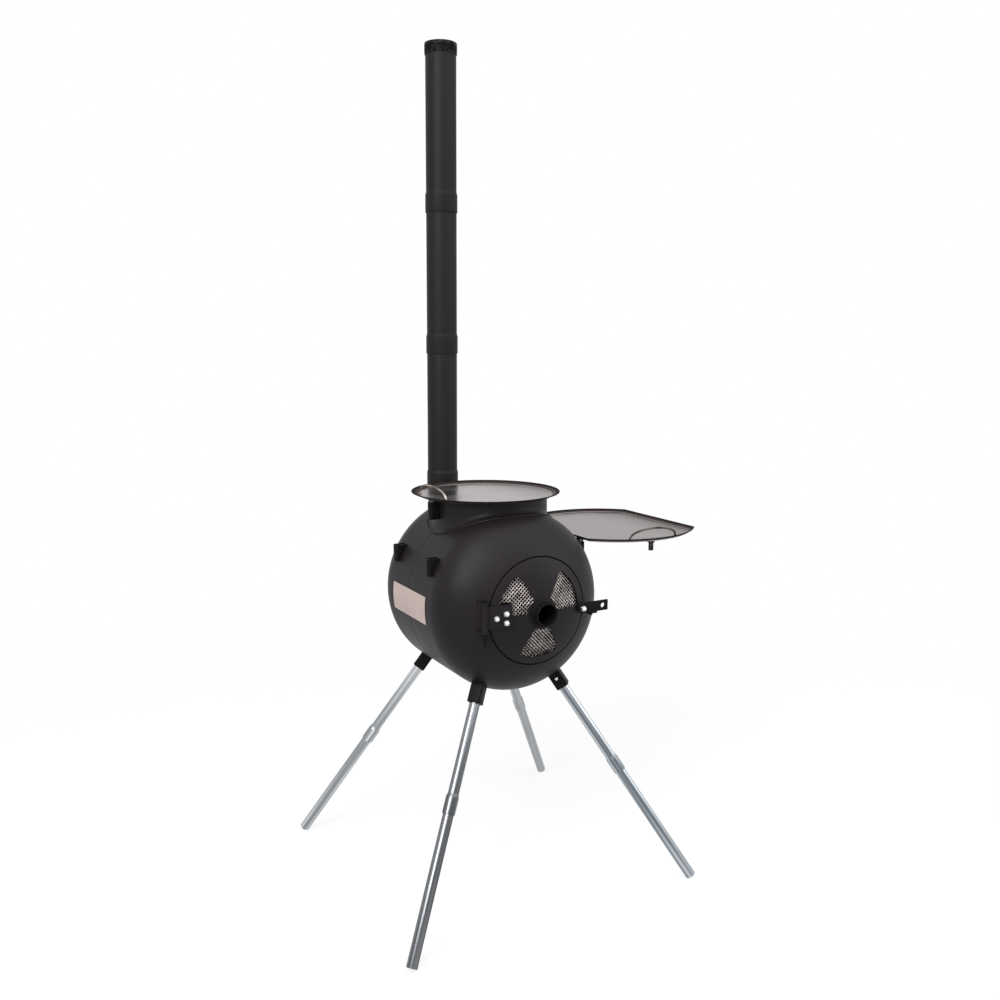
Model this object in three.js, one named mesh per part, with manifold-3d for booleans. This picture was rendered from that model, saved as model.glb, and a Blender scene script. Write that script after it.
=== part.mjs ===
// A portable wood-burning stove for a tent: an ovoid body of two pressed shells on four two-part legs,
// with a cook plate on a collar, a side plate on straps, a hinged door with mesh windows and a flue.
// Millimetres. X runs to the right, Y from the door towards the flue, Z up.
import * as THREE from "three";
import { mergeVertices } from "three/addons/utils/BufferGeometryUtils.js";
import Module from "manifold-3d";

const wasm = await Module();
wasm.setup();

// ---------------------------------------------------------------- driving dimensions

const CLEARANCE = 0.3; // between pieces that touch
const PIN_CLEARANCE = 0.3; // all round a pin or bolt in its hole
const FULL_TURN = 2 * Math.PI;
const QUARTER_TURN = Math.PI / 2;

// Body: two domes on a straight barrel whose axis lies along Y.
const BODY_AXIS_HEIGHT = 562;
const BODY_RADIUS = 175;
const BARREL_LENGTH = 174;
const DOME_DEPTH = 113.5;
const SHELL_WALL = 2;
const BACKING_WIDTH = 24;
const BACKING_WALL = 2.2;
const BODY_TOP = BODY_AXIS_HEIGHT + BODY_RADIUS;

// Cooking collar.
const COLLAR_RADIUS = 112;
const COLLAR_WALL = 2.5;
const COLLAR_RISE = 16.7; // above the top of the body
const COLLAR_TOP = BODY_TOP + COLLAR_RISE;
const COLLAR_FLARE = 10; // how far the foot of the collar spreads
const COLLAR_FLARE_HEIGHT = 12;
const COLLAR_FOOT_LIP = 1.4;
const COLLAR_SEAT = 1.5; // how far the body's sheet runs in under the collar

// Cook plate and side plate.
const PLATE_SHEET = 2;
const PLATE_RIM_HEIGHT = 6; // above the floor
const COOK_RIM_SPREAD = 13; // from the edge of the floor to the lip
const SIDE_RIM_SPREAD = 8;
const PLATE_LIP = 1.6;
const PLATE_CORNER = 2; // where the flat floor turns up into the rim
const COOK_PLATE_OVERHANG = 32.5; // past the collar
const COOK_PLATE_RADIUS = COLLAR_RADIUS + COOK_PLATE_OVERHANG;
const COOK_PLATE_X = -9.5; // the plate lies a little to the left of the collar's middle
const SIDE_PLATE_RADIUS = 180;
const SIDE_PLATE_HALF_WIDTH = 134.5; // from its middle to each straight edge
const SIDE_PLATE_RISE = 101.7; // above the body's axis
const SIDE_PLATE_BOTTOM = BODY_AXIS_HEIGHT + SIDE_PLATE_RISE;

// Wire handles of the plates.
const HANDLE_WIRE_RADIUS = 2;
const HANDLE_HALF_SPAN = 54;
const HANDLE_HEIGHT = 26; // from the plate's floor to the middle of the wire at the top
const HANDLE_LEAN = 2;
const HANDLE_FULLNESS = 0.75; // below 1 the arc's shoulders are fuller than a circle's
const HANDLE_POINTS = 12;
const COOK_HANDLE_INSET = 29; // from the lip to the handle's feet
const SIDE_HANDLE_INSET = 23;

// Pegs under the plates and the straps that take them. A peg's shoulder rests on its strap.
const PEG_RADIUS = 5;
const PEG_LENGTH = 23;
const PEG_SHOULDER_RADIUS = 7.5;
const PEG_SHOULDER_HEIGHT = 7;
const PEG_SLOT_WIDTH = 2;
const PEG_SLOT_DEPTH = 8;
const COOK_PEG_INSET = 30; // from the lip to the peg's axis
const SIDE_PEG_INSET = 32;
const STRAP_THICKNESS = 3;
const STRAP_BEND = 6; // radius of the outside of a bend
const STRAP_HEIGHT = 32.2;
const STRAP_PLAY = 0.5; // between a peg and its strap
const BODY_STRAP_SPREAD = 73; // along Y, from the middle to each strap
const BODY_PEG_INSET = 11; // from the widest place of the body
const BODY_PEG_X = BODY_RADIUS - BODY_PEG_INSET;
const SIDE_PLATE_REACH = 120; // from its pegs to its middle
const SIDE_PLATE_CENTRE_X = BODY_PEG_X + SIDE_PLATE_REACH;

// Flue.
const FLUE_BEHIND_BODY = 8;
const FLUE_AXIS_Y = BARREL_LENGTH / 2 + DOME_DEPTH + FLUE_BEHIND_BODY;
const PIPE_RADIUS = 31.2;
const PIPE_WALL = 1.4;
const BELL_LENGTH = 41;
const BELL_SHOULDER = 6;
const FIRST_BELL_RISE = 1; // above the top of the body
const FIRST_BELL_BOTTOM = BODY_TOP + FIRST_BELL_RISE;
const PIPE_PITCH = 284.75;
const PIPE_COUNT = 3;
const FLUE_SOCKET_RISE = 15; // above the body's axis
const FLUE_SOCKET_BOTTOM = BODY_AXIS_HEIGHT + FLUE_SOCKET_RISE;
const FLUE_BASE_THICKNESS = 2.5;
const FLUE_MOUTH_RISE = 100;
const FLUE_MOUTH_TOP = BODY_AXIS_HEIGHT + FLUE_MOUTH_RISE;
const CAP_OVERLAP = 13.75;
const CAP_RISE = 7.25; // above the top pipe
const CAP_WALL = 1.2;
const CAP_LEDGE_WIDTH = 4;
const CAP_LEDGE_RADIUS = PIPE_RADIUS + CLEARANCE - CAP_LEDGE_WIDTH;
const CAP_LEDGE_THICKNESS = 1.5;
const CAP_MESH_THICKNESS = 1.2;

// Door.
const DOOR_RADIUS = 99.5;
const DOOR_EDGE_GAP = 2.8;
const STOP_RING_LAP = 2.9; // behind the door's edge
const STOP_RING_INNER = DOOR_RADIUS - STOP_RING_LAP;
const STOP_RING_REACH = 13.5; // past the door's edge
const STOP_RING_OUTER = DOOR_RADIUS + STOP_RING_REACH;
const STOP_RING_WALL = 2;
const WINDOW_COUNT = 3;
const WINDOW_RIM = 14.5; // whole sheet between a window and the door's edge
const WINDOW_OUTER = DOOR_RADIUS - WINDOW_RIM;
const WINDOW_HALF_ANGLE = THREE.MathUtils.degToRad(29);
const WINDOW_CORNER = 6;
const SCREEN_MARGIN = 3.2; // how far a screen reaches past its window
const SCREEN_THICKNESS = 1.2;
const SCREEN_PITCH = 9;
const SCREEN_BAR = 2;
const SCREEN_BORDER = 1.6;
const AIR_TUBE_RADIUS = 22.5;
const AIR_TUBE_WALL = 3.5;
const AIR_TUBE_BORE = AIR_TUBE_RADIUS - AIR_TUBE_WALL;
const AIR_TUBE_OUT = 16.942; // in front of the door's sheet
const AIR_TUBE_FRONT = domeReach(AIR_TUBE_RADIUS) + AIR_TUBE_OUT;
const AIR_TUBE_IN = 14.058;
const AIR_TUBE_BACK = domeReach(AIR_TUBE_RADIUS) - AIR_TUBE_IN;
const WINDOW_HUB = 7.5; // whole sheet between the tube and a window
const WINDOW_INNER = AIR_TUBE_RADIUS + WINDOW_HUB;
const AIR_FLANGE_WIDTH = 4;
const AIR_FLANGE_RADIUS = AIR_TUBE_RADIUS + AIR_FLANGE_WIDTH;
const AIR_FLANGE_THICKNESS = 3.5;
const RING_NUT_WIDTH = 11.5;
const RING_NUT_RADIUS = AIR_TUBE_RADIUS + RING_NUT_WIDTH;
const RING_NUT_THICKNESS = 3;

// Hinge.
const HINGE_PAST_DOOR = 12; // from the door's edge to the pin's axis
const HINGE_X = -(DOOR_RADIUS + HINGE_PAST_DOOR);
const HINGE_LIFT = 9.5203; // from the body's sheet to the pin's axis
const HINGE_Y = -(domeReach(DOOR_RADIUS + HINGE_PAST_DOOR) + HINGE_LIFT);
const HINGE_PIN_RADIUS = 3;
const KNUCKLE_RADIUS = 5.5;
const KNUCKLE_DROP = 23.7; // below the leaf's middle
const KNUCKLE_BOTTOM = BODY_AXIS_HEIGHT - KNUCKLE_DROP;
const KNUCKLE_RISE = 26.7;
const KNUCKLE_TOP = BODY_AXIS_HEIGHT + KNUCKLE_RISE;
const LUG_THICKNESS = 3;
const LUG_NOSE_RADIUS = 6.5;
const LUG_WIDTH = 8; // from the pin's axis outwards
const LUG_OUTER_X = HINGE_X - LUG_WIDTH;
const BRACKET_WEB_WALL = 2;
const PIN_TAIL = 24; // below the lower lug
const PIN_SLEEVE = 10; // the thick part under the lower lug
const PIN_HEAD_HEIGHT = 3;
const PIN_HEAD_RADIUS = 5.5;
const LEAF_THICKNESS = 3;
const LEAF_HEIGHT = 42;
const LEAF_REACH = 37.5; // in from the door's edge
const LEAF_END_X = LEAF_REACH - DOOR_RADIUS;
const LEAF_TOUCH_INSET = 19.5;
const LEAF_TOUCH_X = LEAF_TOUCH_INSET - DOOR_RADIUS; // where the flat leaf is tangent to the dome
const LEAF_MIDDLE = BODY_AXIS_HEIGHT;
const LEAF_PAD_MARGIN = 2;
const NEAR_BOLT_INSET = 7.5;
const LEAF_NEAR_BOLT_X = NEAR_BOLT_INSET - DOOR_RADIUS;
const FAR_BOLT_INSET = 24.5;
const LEAF_FAR_BOLT_X = FAR_BOLT_INSET - DOOR_RADIUS;
const LEAF_BOLT_SPREAD = 8.3;

// Dome-nut bolts.
const BOLT_RADIUS = 3;
const NUT_RADIUS = 5.6;
const NUT_SKIRT = 5;
const NUT_DOME = 5;
const BOLT_HEAD_RADIUS = 4.2;
const BOLT_HEAD_THICKNESS = 2.4;

// Latch.
const LATCH_INSET = 7.5; // in from the door's edge
const LATCH_X = DOOR_RADIUS - LATCH_INSET;
const LATCH_DROP = 4.5; // below the body's axis
const LATCH_HEIGHT = BODY_AXIS_HEIGHT - LATCH_DROP;
const LATCH_BAR_LENGTH = 58; // from its bolt
const LATCH_BAR_END = LATCH_X + LATCH_BAR_LENGTH;
const LATCH_BAR_DEPTH = 20;
const LATCH_BAR_THICKNESS = 3;
const LATCH_BAR_LIFT = 5.4499; // from the door's sheet
const LATCH_BAR_BACK = -(domeReach(LATCH_X) + LATCH_BAR_LIFT);
const LATCH_HOLE_INSET = 11.5;
const LATCH_HOLE_X = LATCH_BAR_END - LATCH_HOLE_INSET;
const LATCH_HOLE_RADIUS = 4.75;
const SPACER_RADIUS = 6.5;
const LEDGE_PAST_DOOR = 12.5;
const LEDGE_START_X = DOOR_RADIUS + LEDGE_PAST_DOOR;
const LEDGE_WIDTH = 14;
const LEDGE_END_X = LEDGE_START_X + LEDGE_WIDTH;
const LEDGE_THICKNESS = 3;
const LEDGE_WEB_DROP = 14;

// Legs. The mouth is the middle of a socket's open end, the foot where the leg's axis meets the floor.
const MOUTH_X = 0.56 * BODY_RADIUS;
const MOUTH_PAST_BARREL = 35;
const MOUTH_Y = BARREL_LENGTH / 2 + MOUTH_PAST_BARREL;
const MOUTH_DROP = 4; // below the bottom of the body
const MOUTH_HEIGHT = BODY_AXIS_HEIGHT - BODY_RADIUS - MOUTH_DROP;
const LEG_SPREAD_X = 207.5; // from the mouth to the foot
const FOOT_X = MOUTH_X + LEG_SPREAD_X;
const LEG_SPREAD_Y = 160;
const FOOT_Y = MOUTH_Y + LEG_SPREAD_Y;
const LEG_RADIUS = 10;
const LEG_WALL = 1.5;
const SOCKET_MARGIN = 2.5; // round the leg
const SOCKET_SIDE = 2 * (LEG_RADIUS + SOCKET_MARGIN);
const SOCKET_CORNER = 4;
const SOCKET_DEPTH = 32.5;
const SOCKET_LENGTH = 46; // before it is trimmed to the body
const SWAGE_START = 166.5; // from the mouth down to the swage
const SWAGE_LENGTH = 36;
const SWAGE_SHOULDER = 6;
const SWAGE_WALL = 1.6;
const SCREW_RADIUS = 1.7;
const SCREW_HEAD_RADIUS = 3.2;
const SCREW_HEAD_HEIGHT = 2;
const SCREW_FROM_MOUTH = 22;

// Fire grate.
const GRATE_DROP = 92; // below the body's axis
const GRATE_HEIGHT = BODY_AXIS_HEIGHT - GRATE_DROP;
const GRATE_THICKNESS = 4;
const GRATE_END_PLAY = 2;
const GRATE_LENGTH = BARREL_LENGTH - 2 * GRATE_END_PLAY;
const GRATE_SLOTS = 6;
const GRATE_SLOT_WIDTH = 12;
const GRATE_SLOT_MARGIN = 18;
const GRATE_NOTCH_MARGIN = 3;

// Blank plate on the left side.
const LABEL_END_GAP = 15.5; // to the end of the barrel
const LABEL_LENGTH = BARREL_LENGTH - 2 * LABEL_END_GAP;
const LABEL_DROP = 31; // below the body's axis
const LABEL_BOTTOM = BODY_AXIS_HEIGHT - LABEL_DROP;
const LABEL_RISE = 22;
const LABEL_TOP = BODY_AXIS_HEIGHT + LABEL_RISE;
const LABEL_THICKNESS = 0.8;

// Facets round each kind of piece.
const BODY_FACETS = 40;
const PLATE_FACETS = 48;
const PIPE_FACETS = 28;
const LEG_FACETS = 12;
const SMALL_FACETS = 12;
const DOME_STEPS = 12; // from the rim of a dome to its middle
const ARC_STEPS = 10;
const MERGE_TOLERANCE = 1e-4;

// ---------------------------------------------------------------- finishes

const finish = (name, color, roughness, metalness) =>
  new THREE.MeshStandardMaterial({ name, color, roughness, metalness });

const STOVE_BLACK = finish("stove_black", 0x35343a, 0.62, 0.1);
const BARE_STEEL = finish("bare_steel", 0xbfbcbc, 0.24, 0.95);
const WIRE_STEEL = finish("wire_steel", 0xa39a90, 0.38, 0.9);
const ZINC = finish("zinc_plate", 0xc4c9cc, 0.2, 0.95);
const BLANK_PAPER = finish("blank_plate", 0xe4dcd8, 0.55, 0);

// ---------------------------------------------------------------- solids

// Turns a closed geometry into a solid with its faces pointing out.
function solidOf(geometry) {
  const bare = geometry.index ? geometry.toNonIndexed() : geometry.clone();
  bare.deleteAttribute("normal");
  bare.deleteAttribute("uv");
  const merged = mergeVertices(bare, MERGE_TOLERANCE);
  const corners = merged.index.array;
  const kept = [];
  for (let i = 0; i < corners.length; i += 3) {
    const [a, b, c] = [corners[i], corners[i + 1], corners[i + 2]];
    if (a !== b && b !== c && c !== a) kept.push(a, b, c);
  }
  const solid = makeSolid(merged, kept);
  return solid.volume() > 0 ? solid : makeSolid(merged, kept.reverse());
}

function makeSolid(merged, corners) {
  return new wasm.Manifold(
    new wasm.Mesh({
      numProp: 3,
      vertProperties: merged.attributes.position.array,
      triVerts: new Uint32Array(corners),
    }),
  );
}

function geometryOf(solid) {
  const mesh = solid.getMesh();
  const geometry = new THREE.BufferGeometry();
  geometry.setAttribute("position", new THREE.BufferAttribute(mesh.vertProperties, mesh.numProp));
  geometry.setIndex(new THREE.BufferAttribute(mesh.triVerts, 1));
  const faceted = geometry.toNonIndexed();
  faceted.computeVertexNormals();
  return faceted;
}

function addPiece(parent, name, solid, material) {
  const piece = new THREE.Mesh(geometryOf(solid), material);
  piece.name = name;
  parent.add(piece);
  return piece;
}

// A profile of [radius, along] pairs turned about the Y axis.
function turnedAboutY(profile, facets) {
  return new THREE.LatheGeometry(profile.map(([r, y]) => new THREE.Vector2(r, y)), facets);
}

// The same turned about the Z axis.
function turned(profile, facets) {
  return turnedAboutY(profile, facets).rotateX(QUARTER_TURN);
}

const closedLoop = (profile) => [...profile, profile[0]];

function rod(radius, from, to, facets) {
  return turned([[0, from], [radius, from], [radius, to], [0, to]], facets);
}

function tube(outer, inner, from, to, facets) {
  return turned(closedLoop([[outer, from], [outer, to], [inner, to], [inner, from]]), facets);
}

function polygon(points) {
  return new THREE.Shape(points.map(([x, y]) => new THREE.Vector2(x, y)));
}

function plate(shape, thickness, curveSegments = ARC_STEPS) {
  return new THREE.ExtrudeGeometry(shape, { depth: thickness, bevelEnabled: false, curveSegments });
}

function block(fromX, toX, fromY, toY, fromZ, toZ) {
  const box = new THREE.BoxGeometry(toX - fromX, toY - fromY, toZ - fromZ);
  return box.translate((fromX + toX) / 2, (fromY + toY) / 2, (fromZ + toZ) / 2);
}

// Rings of points with the same count, joined in order and closed by a fan at each end.
function lofted(rings) {
  const count = rings[0].length;
  const points = rings.flat();
  const corners = [];
  for (let ring = 0; ring + 1 < rings.length; ring++) {
    for (let i = 0; i < count; i++) {
      const next = (i + 1) % count;
      const [a, b] = [ring * count + i, ring * count + next];
      corners.push(a, b, b + count, a, b + count, a + count);
    }
  }
  for (const [ring, turn] of [[0, 1], [rings.length - 1, -1]]) {
    const middle = new THREE.Vector3();
    rings[ring].forEach((p) => middle.add(p));
    const hub = points.push(middle.divideScalar(count)) - 1;
    for (let i = 0; i < count; i++) {
      const [a, b] = [ring * count + i, ring * count + ((i + 1) % count)];
      corners.push(...(turn > 0 ? [hub, b, a] : [hub, a, b]));
    }
  }
  const geometry = new THREE.BufferGeometry().setFromPoints(points);
  geometry.setIndex(corners);
  return geometry;
}

// ---------------------------------------------------------------- the body's surface

// How far the dome reaches along the body's axis at a radius, for a surface inset from the outside.
function domeReach(radius, inset = 0) {
  const share = radius / (BODY_RADIUS - inset);
  return BARREL_LENGTH / 2 + (DOME_DEPTH - inset) * Math.sqrt(1 - share * share);
}

// Points [radius, along] of the dome between two radii. Every dome has its corners at the same
// angles, so that surfaces that lie on each other have matching facets.
function domeArc(fromRadius, toRadius, inset) {
  const size = BODY_RADIUS - inset;
  const step = QUARTER_TURN / DOME_STEPS;
  const [start, end] = [Math.acos(fromRadius / size), Math.acos(toRadius / size)];
  const [low, high] = [Math.min(start, end), Math.max(start, end)];
  const stations = Array.from({ length: DOME_STEPS }, (_, i) => i * step);
  const between = stations.filter((angle) => angle > low + step / 8 && angle < high - step / 8);
  const angles = [low, ...between, high];
  if (start > end) angles.reverse();
  const reach = DOME_DEPTH - inset;
  return angles.map((angle) => [size * Math.cos(angle), BARREL_LENGTH / 2 + reach * Math.sin(angle)]);
}

// Height of the body's outer surface over a point of the plan, from the body's axis.
function bodyCrown(x, y) {
  const pastBarrel = Math.max(Math.abs(y) - BARREL_LENGTH / 2, 0);
  const share = (x / BODY_RADIUS) ** 2 + (pastBarrel / DOME_DEPTH) ** 2;
  return BODY_RADIUS * Math.sqrt(1 - share);
}

// The whole body as one solid, grown by a clearance: what a welded-on piece is trimmed with.
function bodyEnvelope(growth) {
  const size = BODY_RADIUS + growth;
  const arc = domeArc(size, 0, -growth);
  const profile = [...arc.map(([r, y]) => [r, -y]).reverse(), ...arc];
  return solidOf(turnedAboutY(profile, BODY_FACETS));
}

const aboveAxis = (height) => height - BODY_AXIS_HEIGHT;
const collarBore = COLLAR_RADIUS - COLLAR_WALL;
const shellMouth = solidOf(rod(collarBore - COLLAR_SEAT, 0, BODY_RADIUS + SHELL_WALL, BODY_FACETS));
const trimBody = bodyEnvelope(CLEARANCE);

// ---------------------------------------------------------------- groups

const part = new THREE.Group();
const stove = new THREE.Group();
part.add(stove);

const body = new THREE.Group();
body.position.z = BODY_AXIS_HEIGHT;
stove.add(body);

const door = new THREE.Group();
body.add(door);

// ---------------------------------------------------------------- shells

function addShells() {
  const openingRadius = DOOR_RADIUS + DOOR_EDGE_GAP;
  const front = [
    ...domeArc(openingRadius, BODY_RADIUS, 0),
    [BODY_RADIUS, CLEARANCE / 2],
    [BODY_RADIUS - SHELL_WALL, CLEARANCE / 2],
    ...domeArc(BODY_RADIUS - SHELL_WALL, openingRadius, SHELL_WALL),
  ].map(([r, y]) => [r, -y]);
  const rear = [
    ...domeArc(0, BODY_RADIUS, 0),
    [BODY_RADIUS, CLEARANCE / 2],
    [BODY_RADIUS - SHELL_WALL, CLEARANCE / 2],
    ...domeArc(BODY_RADIUS - SHELL_WALL, 0, SHELL_WALL),
  ];
  const frontShell = solidOf(turnedAboutY(closedLoop(front), BODY_FACETS)).subtract(shellMouth);
  addPiece(body, "front_shell", frontShell, STOVE_BLACK);

  const mouthHeight = aboveAxis(FLUE_MOUTH_TOP);
  const mouthBottom = aboveAxis(FLUE_SOCKET_BOTTOM + FLUE_BASE_THICKNESS);
  const flueMouth = rod(PIPE_RADIUS - PIPE_WALL - SHELL_WALL, mouthBottom, mouthHeight, PIPE_FACETS);
  const rearShell = solidOf(turnedAboutY(rear, BODY_FACETS))
    .subtract(shellMouth)
    .subtract(solidOf(flueMouth.translate(0, FLUE_AXIS_Y, 0)));
  addPiece(body, "rear_shell", rearShell, STOVE_BLACK);

  const backingOuter = BODY_RADIUS - SHELL_WALL - CLEARANCE;
  const backing = closedLoop([
    [backingOuter, -BACKING_WIDTH / 2],
    [backingOuter, BACKING_WIDTH / 2],
    [backingOuter - BACKING_WALL, BACKING_WIDTH / 2],
    [backingOuter - BACKING_WALL, -BACKING_WIDTH / 2],
  ]);
  const seamRing = solidOf(turnedAboutY(backing, BODY_FACETS)).subtract(shellMouth);
  addPiece(body, "seam_backing_ring", seamRing, STOVE_BLACK);
}

// ---------------------------------------------------------------- collar

// The foot follows the body's curve, so its section changes round the collar.
function addCollar() {
  const sections = Array.from({ length: BODY_FACETS }, (_, i) => {
    const angle = (FULL_TURN * i) / BODY_FACETS;
    const [c, s] = [Math.cos(angle), Math.sin(angle)];
    const seat = (radius) => bodyCrown(radius * c, radius * s);
    const foot = seat(COLLAR_RADIUS + COLLAR_FLARE) + CLEARANCE + COLLAR_FOOT_LIP;
    const flareTop = seat(COLLAR_RADIUS) + COLLAR_FLARE_HEIGHT;
    const section = [
      [COLLAR_RADIUS, aboveAxis(COLLAR_TOP)],
      [COLLAR_RADIUS, flareTop],
      [COLLAR_RADIUS + COLLAR_FLARE / 6, (flareTop + foot) / 2 + COLLAR_FOOT_LIP],
      [COLLAR_RADIUS + COLLAR_FLARE / 2, foot + (flareTop - foot) / 6],
      [COLLAR_RADIUS + COLLAR_FLARE, foot],
      [COLLAR_RADIUS + COLLAR_FLARE, seat(COLLAR_RADIUS + COLLAR_FLARE) - SHELL_WALL],
      [collarBore, seat(collarBore) - SHELL_WALL],
      [collarBore, aboveAxis(COLLAR_TOP)],
    ];
    return section.map(([r, z]) => new THREE.Vector3(r * c, r * s, z));
  });
  const collar = solidOf(ringOfSections(sections)).subtract(trimBody);
  addPiece(body, "cooking_collar", collar, STOVE_BLACK);
}

// Closed sections joined round into a ring.
function ringOfSections(sections) {
  const count = sections[0].length;
  const corners = [];
  sections.forEach((_, i) => {
    const [here, there] = [i * count, ((i + 1) % sections.length) * count];
    for (let j = 0; j < count; j++) {
      const next = (j + 1) % count;
      corners.push(here + j, there + j, there + next, here + j, there + next, here + next);
    }
  });
  const geometry = new THREE.BufferGeometry().setFromPoints(sections.flat());
  geometry.setIndex(corners);
  return geometry;
}

// ---------------------------------------------------------------- plates, handles, pegs, straps

const cookPlateBottom = COLLAR_TOP + CLEARANCE;
const cookPegX = COOK_PLATE_X + COOK_PEG_INSET - COOK_PLATE_RADIUS;

function addCookPlate() {
  const floorEdge = COOK_PLATE_RADIUS - COOK_RIM_SPREAD;
  const top = PLATE_RIM_HEIGHT + PLATE_SHEET;
  const profile = [
    [0, 0],
    [floorEdge - PLATE_CORNER, 0],
    [floorEdge, PLATE_CORNER / 2],
    [COOK_PLATE_RADIUS, top - PLATE_LIP],
    [COOK_PLATE_RADIUS, top],
    [COOK_PLATE_RADIUS - PLATE_LIP, top],
    [floorEdge, PLATE_SHEET + PLATE_CORNER / 2],
    [floorEdge - PLATE_CORNER, PLATE_SHEET],
    [0, PLATE_SHEET],
  ];
  const cookPlate = addPiece(stove, "cook_plate", solidOf(turned(profile, PLATE_FACETS)), BARE_STEEL);
  cookPlate.position.set(COOK_PLATE_X, 0, cookPlateBottom);
}

// Outline of the side plate: a circle cut by two straight edges, moved in by an inset.
function sidePlateOutline(inset, height) {
  const radius = SIDE_PLATE_RADIUS - inset;
  const half = SIDE_PLATE_HALF_WIDTH - inset;
  const corner = Math.acos(half / radius);
  const points = [];
  for (const side of [0, 1]) {
    for (let i = 0; i <= PLATE_FACETS / 2; i++) {
      const angle = side * Math.PI + corner + ((Math.PI - 2 * corner) * i) / (PLATE_FACETS / 2);
      points.push(new THREE.Vector3(radius * Math.cos(angle), radius * Math.sin(angle), height));
    }
  }
  return points;
}

function addSidePlate() {
  const top = PLATE_RIM_HEIGHT + PLATE_SHEET;
  const rings = [
    sidePlateOutline(SIDE_RIM_SPREAD + PLATE_CORNER, 0),
    sidePlateOutline(SIDE_RIM_SPREAD, PLATE_CORNER / 2),
    sidePlateOutline(0, top - PLATE_LIP),
    sidePlateOutline(0, top),
    sidePlateOutline(PLATE_LIP, top),
    sidePlateOutline(SIDE_RIM_SPREAD, PLATE_SHEET + PLATE_CORNER / 2),
    sidePlateOutline(SIDE_RIM_SPREAD + PLATE_CORNER, PLATE_SHEET),
  ];
  const sidePlate = addPiece(stove, "side_plate", solidOf(lofted(rings)), BARE_STEEL);
  sidePlate.position.set(SIDE_PLATE_CENTRE_X, 0, SIDE_PLATE_BOTTOM);
}

// A wire arc standing on a plate's floor. Local X points out over the rim, Y runs along the span.
function handleSolid() {
  const foot = (side) => new THREE.Vector3(0, side * HANDLE_HALF_SPAN, -HANDLE_WIRE_RADIUS);
  const arc = Array.from({ length: HANDLE_POINTS + 1 }, (_, i) => {
    const angle = (Math.PI * i) / HANDLE_POINTS;
    const rise = Math.sin(angle) ** HANDLE_FULLNESS;
    const across = -HANDLE_HALF_SPAN * Math.cos(angle);
    return new THREE.Vector3(HANDLE_LEAN * rise, across, HANDLE_HEIGHT * rise);
  });
  const route = new THREE.CatmullRomCurve3([foot(-1), ...arc, foot(1)]);
  const section = new THREE.Shape().absarc(0, 0, HANDLE_WIRE_RADIUS, 0, FULL_TURN);
  const wire = new THREE.ExtrudeGeometry(section, {
    steps: 2 * ARC_STEPS,
    extrudePath: route,
    curveSegments: SMALL_FACETS / 4,
  });
  const overFloor = block(-BODY_RADIUS, BODY_RADIUS, -BODY_RADIUS, BODY_RADIUS, CLEARANCE, BODY_RADIUS);
  return solidOf(wire).intersect(solidOf(overFloor));
}

function addHandles() {
  const cookHandle = addPiece(stove, "cook_plate_handle", handleSolid(), WIRE_STEEL);
  cookHandle.rotation.z = Math.PI;
  const cookFeetX = COOK_PLATE_X + COOK_HANDLE_INSET - COOK_PLATE_RADIUS;
  cookHandle.position.set(cookFeetX, 0, cookPlateBottom + PLATE_SHEET);

  const sideHandle = addPiece(stove, "side_plate_handle", handleSolid(), WIRE_STEEL);
  sideHandle.rotation.z = -QUARTER_TURN;
  const sideFeetY = SIDE_HANDLE_INSET - SIDE_PLATE_RADIUS;
  sideHandle.position.set(SIDE_PLATE_CENTRE_X, sideFeetY, SIDE_PLATE_BOTTOM + PLATE_SHEET);
}

// A shouldered peg hanging from z = 0, with a slot across its lower end.
function pegSolid() {
  const pin = turned([
    [0, -PEG_LENGTH],
    [PEG_RADIUS, -PEG_LENGTH],
    [PEG_RADIUS, -PEG_SHOULDER_HEIGHT],
    [PEG_SHOULDER_RADIUS, -PEG_SHOULDER_HEIGHT],
    [PEG_SHOULDER_RADIUS, 0],
    [0, 0],
  ], SMALL_FACETS);
  const slot = block(-PEG_SLOT_WIDTH / 2, PEG_SLOT_WIDTH / 2, -BODY_RADIUS, BODY_RADIUS,
    -PEG_LENGTH - PEG_SLOT_WIDTH, PEG_SLOT_DEPTH - PEG_LENGTH);
  return solidOf(pin).subtract(solidOf(slot));
}

function addPegs() {
  const sideTop = SIDE_PLATE_BOTTOM - CLEARANCE;
  const places = [
    ["cook_plate_peg", cookPegX, 0, cookPlateBottom - CLEARANCE],
    ["side_plate_peg_front", BODY_PEG_X, -BODY_STRAP_SPREAD, sideTop],
    ["side_plate_peg_rear", BODY_PEG_X, BODY_STRAP_SPREAD, sideTop],
    ["side_plate_peg_spare", SIDE_PLATE_CENTRE_X, SIDE_PEG_INSET - SIDE_PLATE_RADIUS, sideTop],
  ];
  for (const [name, x, y, top] of places) {
    addPiece(stove, name, pegSolid(), ZINC).position.set(x, y, top);
  }
}

// From a peg's top down to the strap that its shoulder rests on.
const strapDrop = PEG_SHOULDER_HEIGHT + CLEARANCE;

// A U-shaped strap open towards local -X, round a peg at the local origin, from z = 0 down.
function strapGeometry() {
  const inner = PEG_RADIUS + STRAP_PLAY;
  const outer = inner + STRAP_THICKNESS;
  const root = -BODY_RADIUS / 5;
  const bend = outer - STRAP_BEND;
  const outline = new THREE.Shape();
  outline.moveTo(root, -outer);
  outline.absarc(bend, -bend, STRAP_BEND, -QUARTER_TURN, 0, false);
  outline.absarc(bend, bend, STRAP_BEND, 0, QUARTER_TURN, false);
  outline.lineTo(root, outer);
  outline.lineTo(root, inner);
  outline.lineTo(inner, inner);
  outline.lineTo(inner, -inner);
  outline.lineTo(root, -inner);
  return plate(outline, STRAP_HEIGHT, SMALL_FACETS / 3).translate(0, 0, -STRAP_HEIGHT);
}

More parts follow.
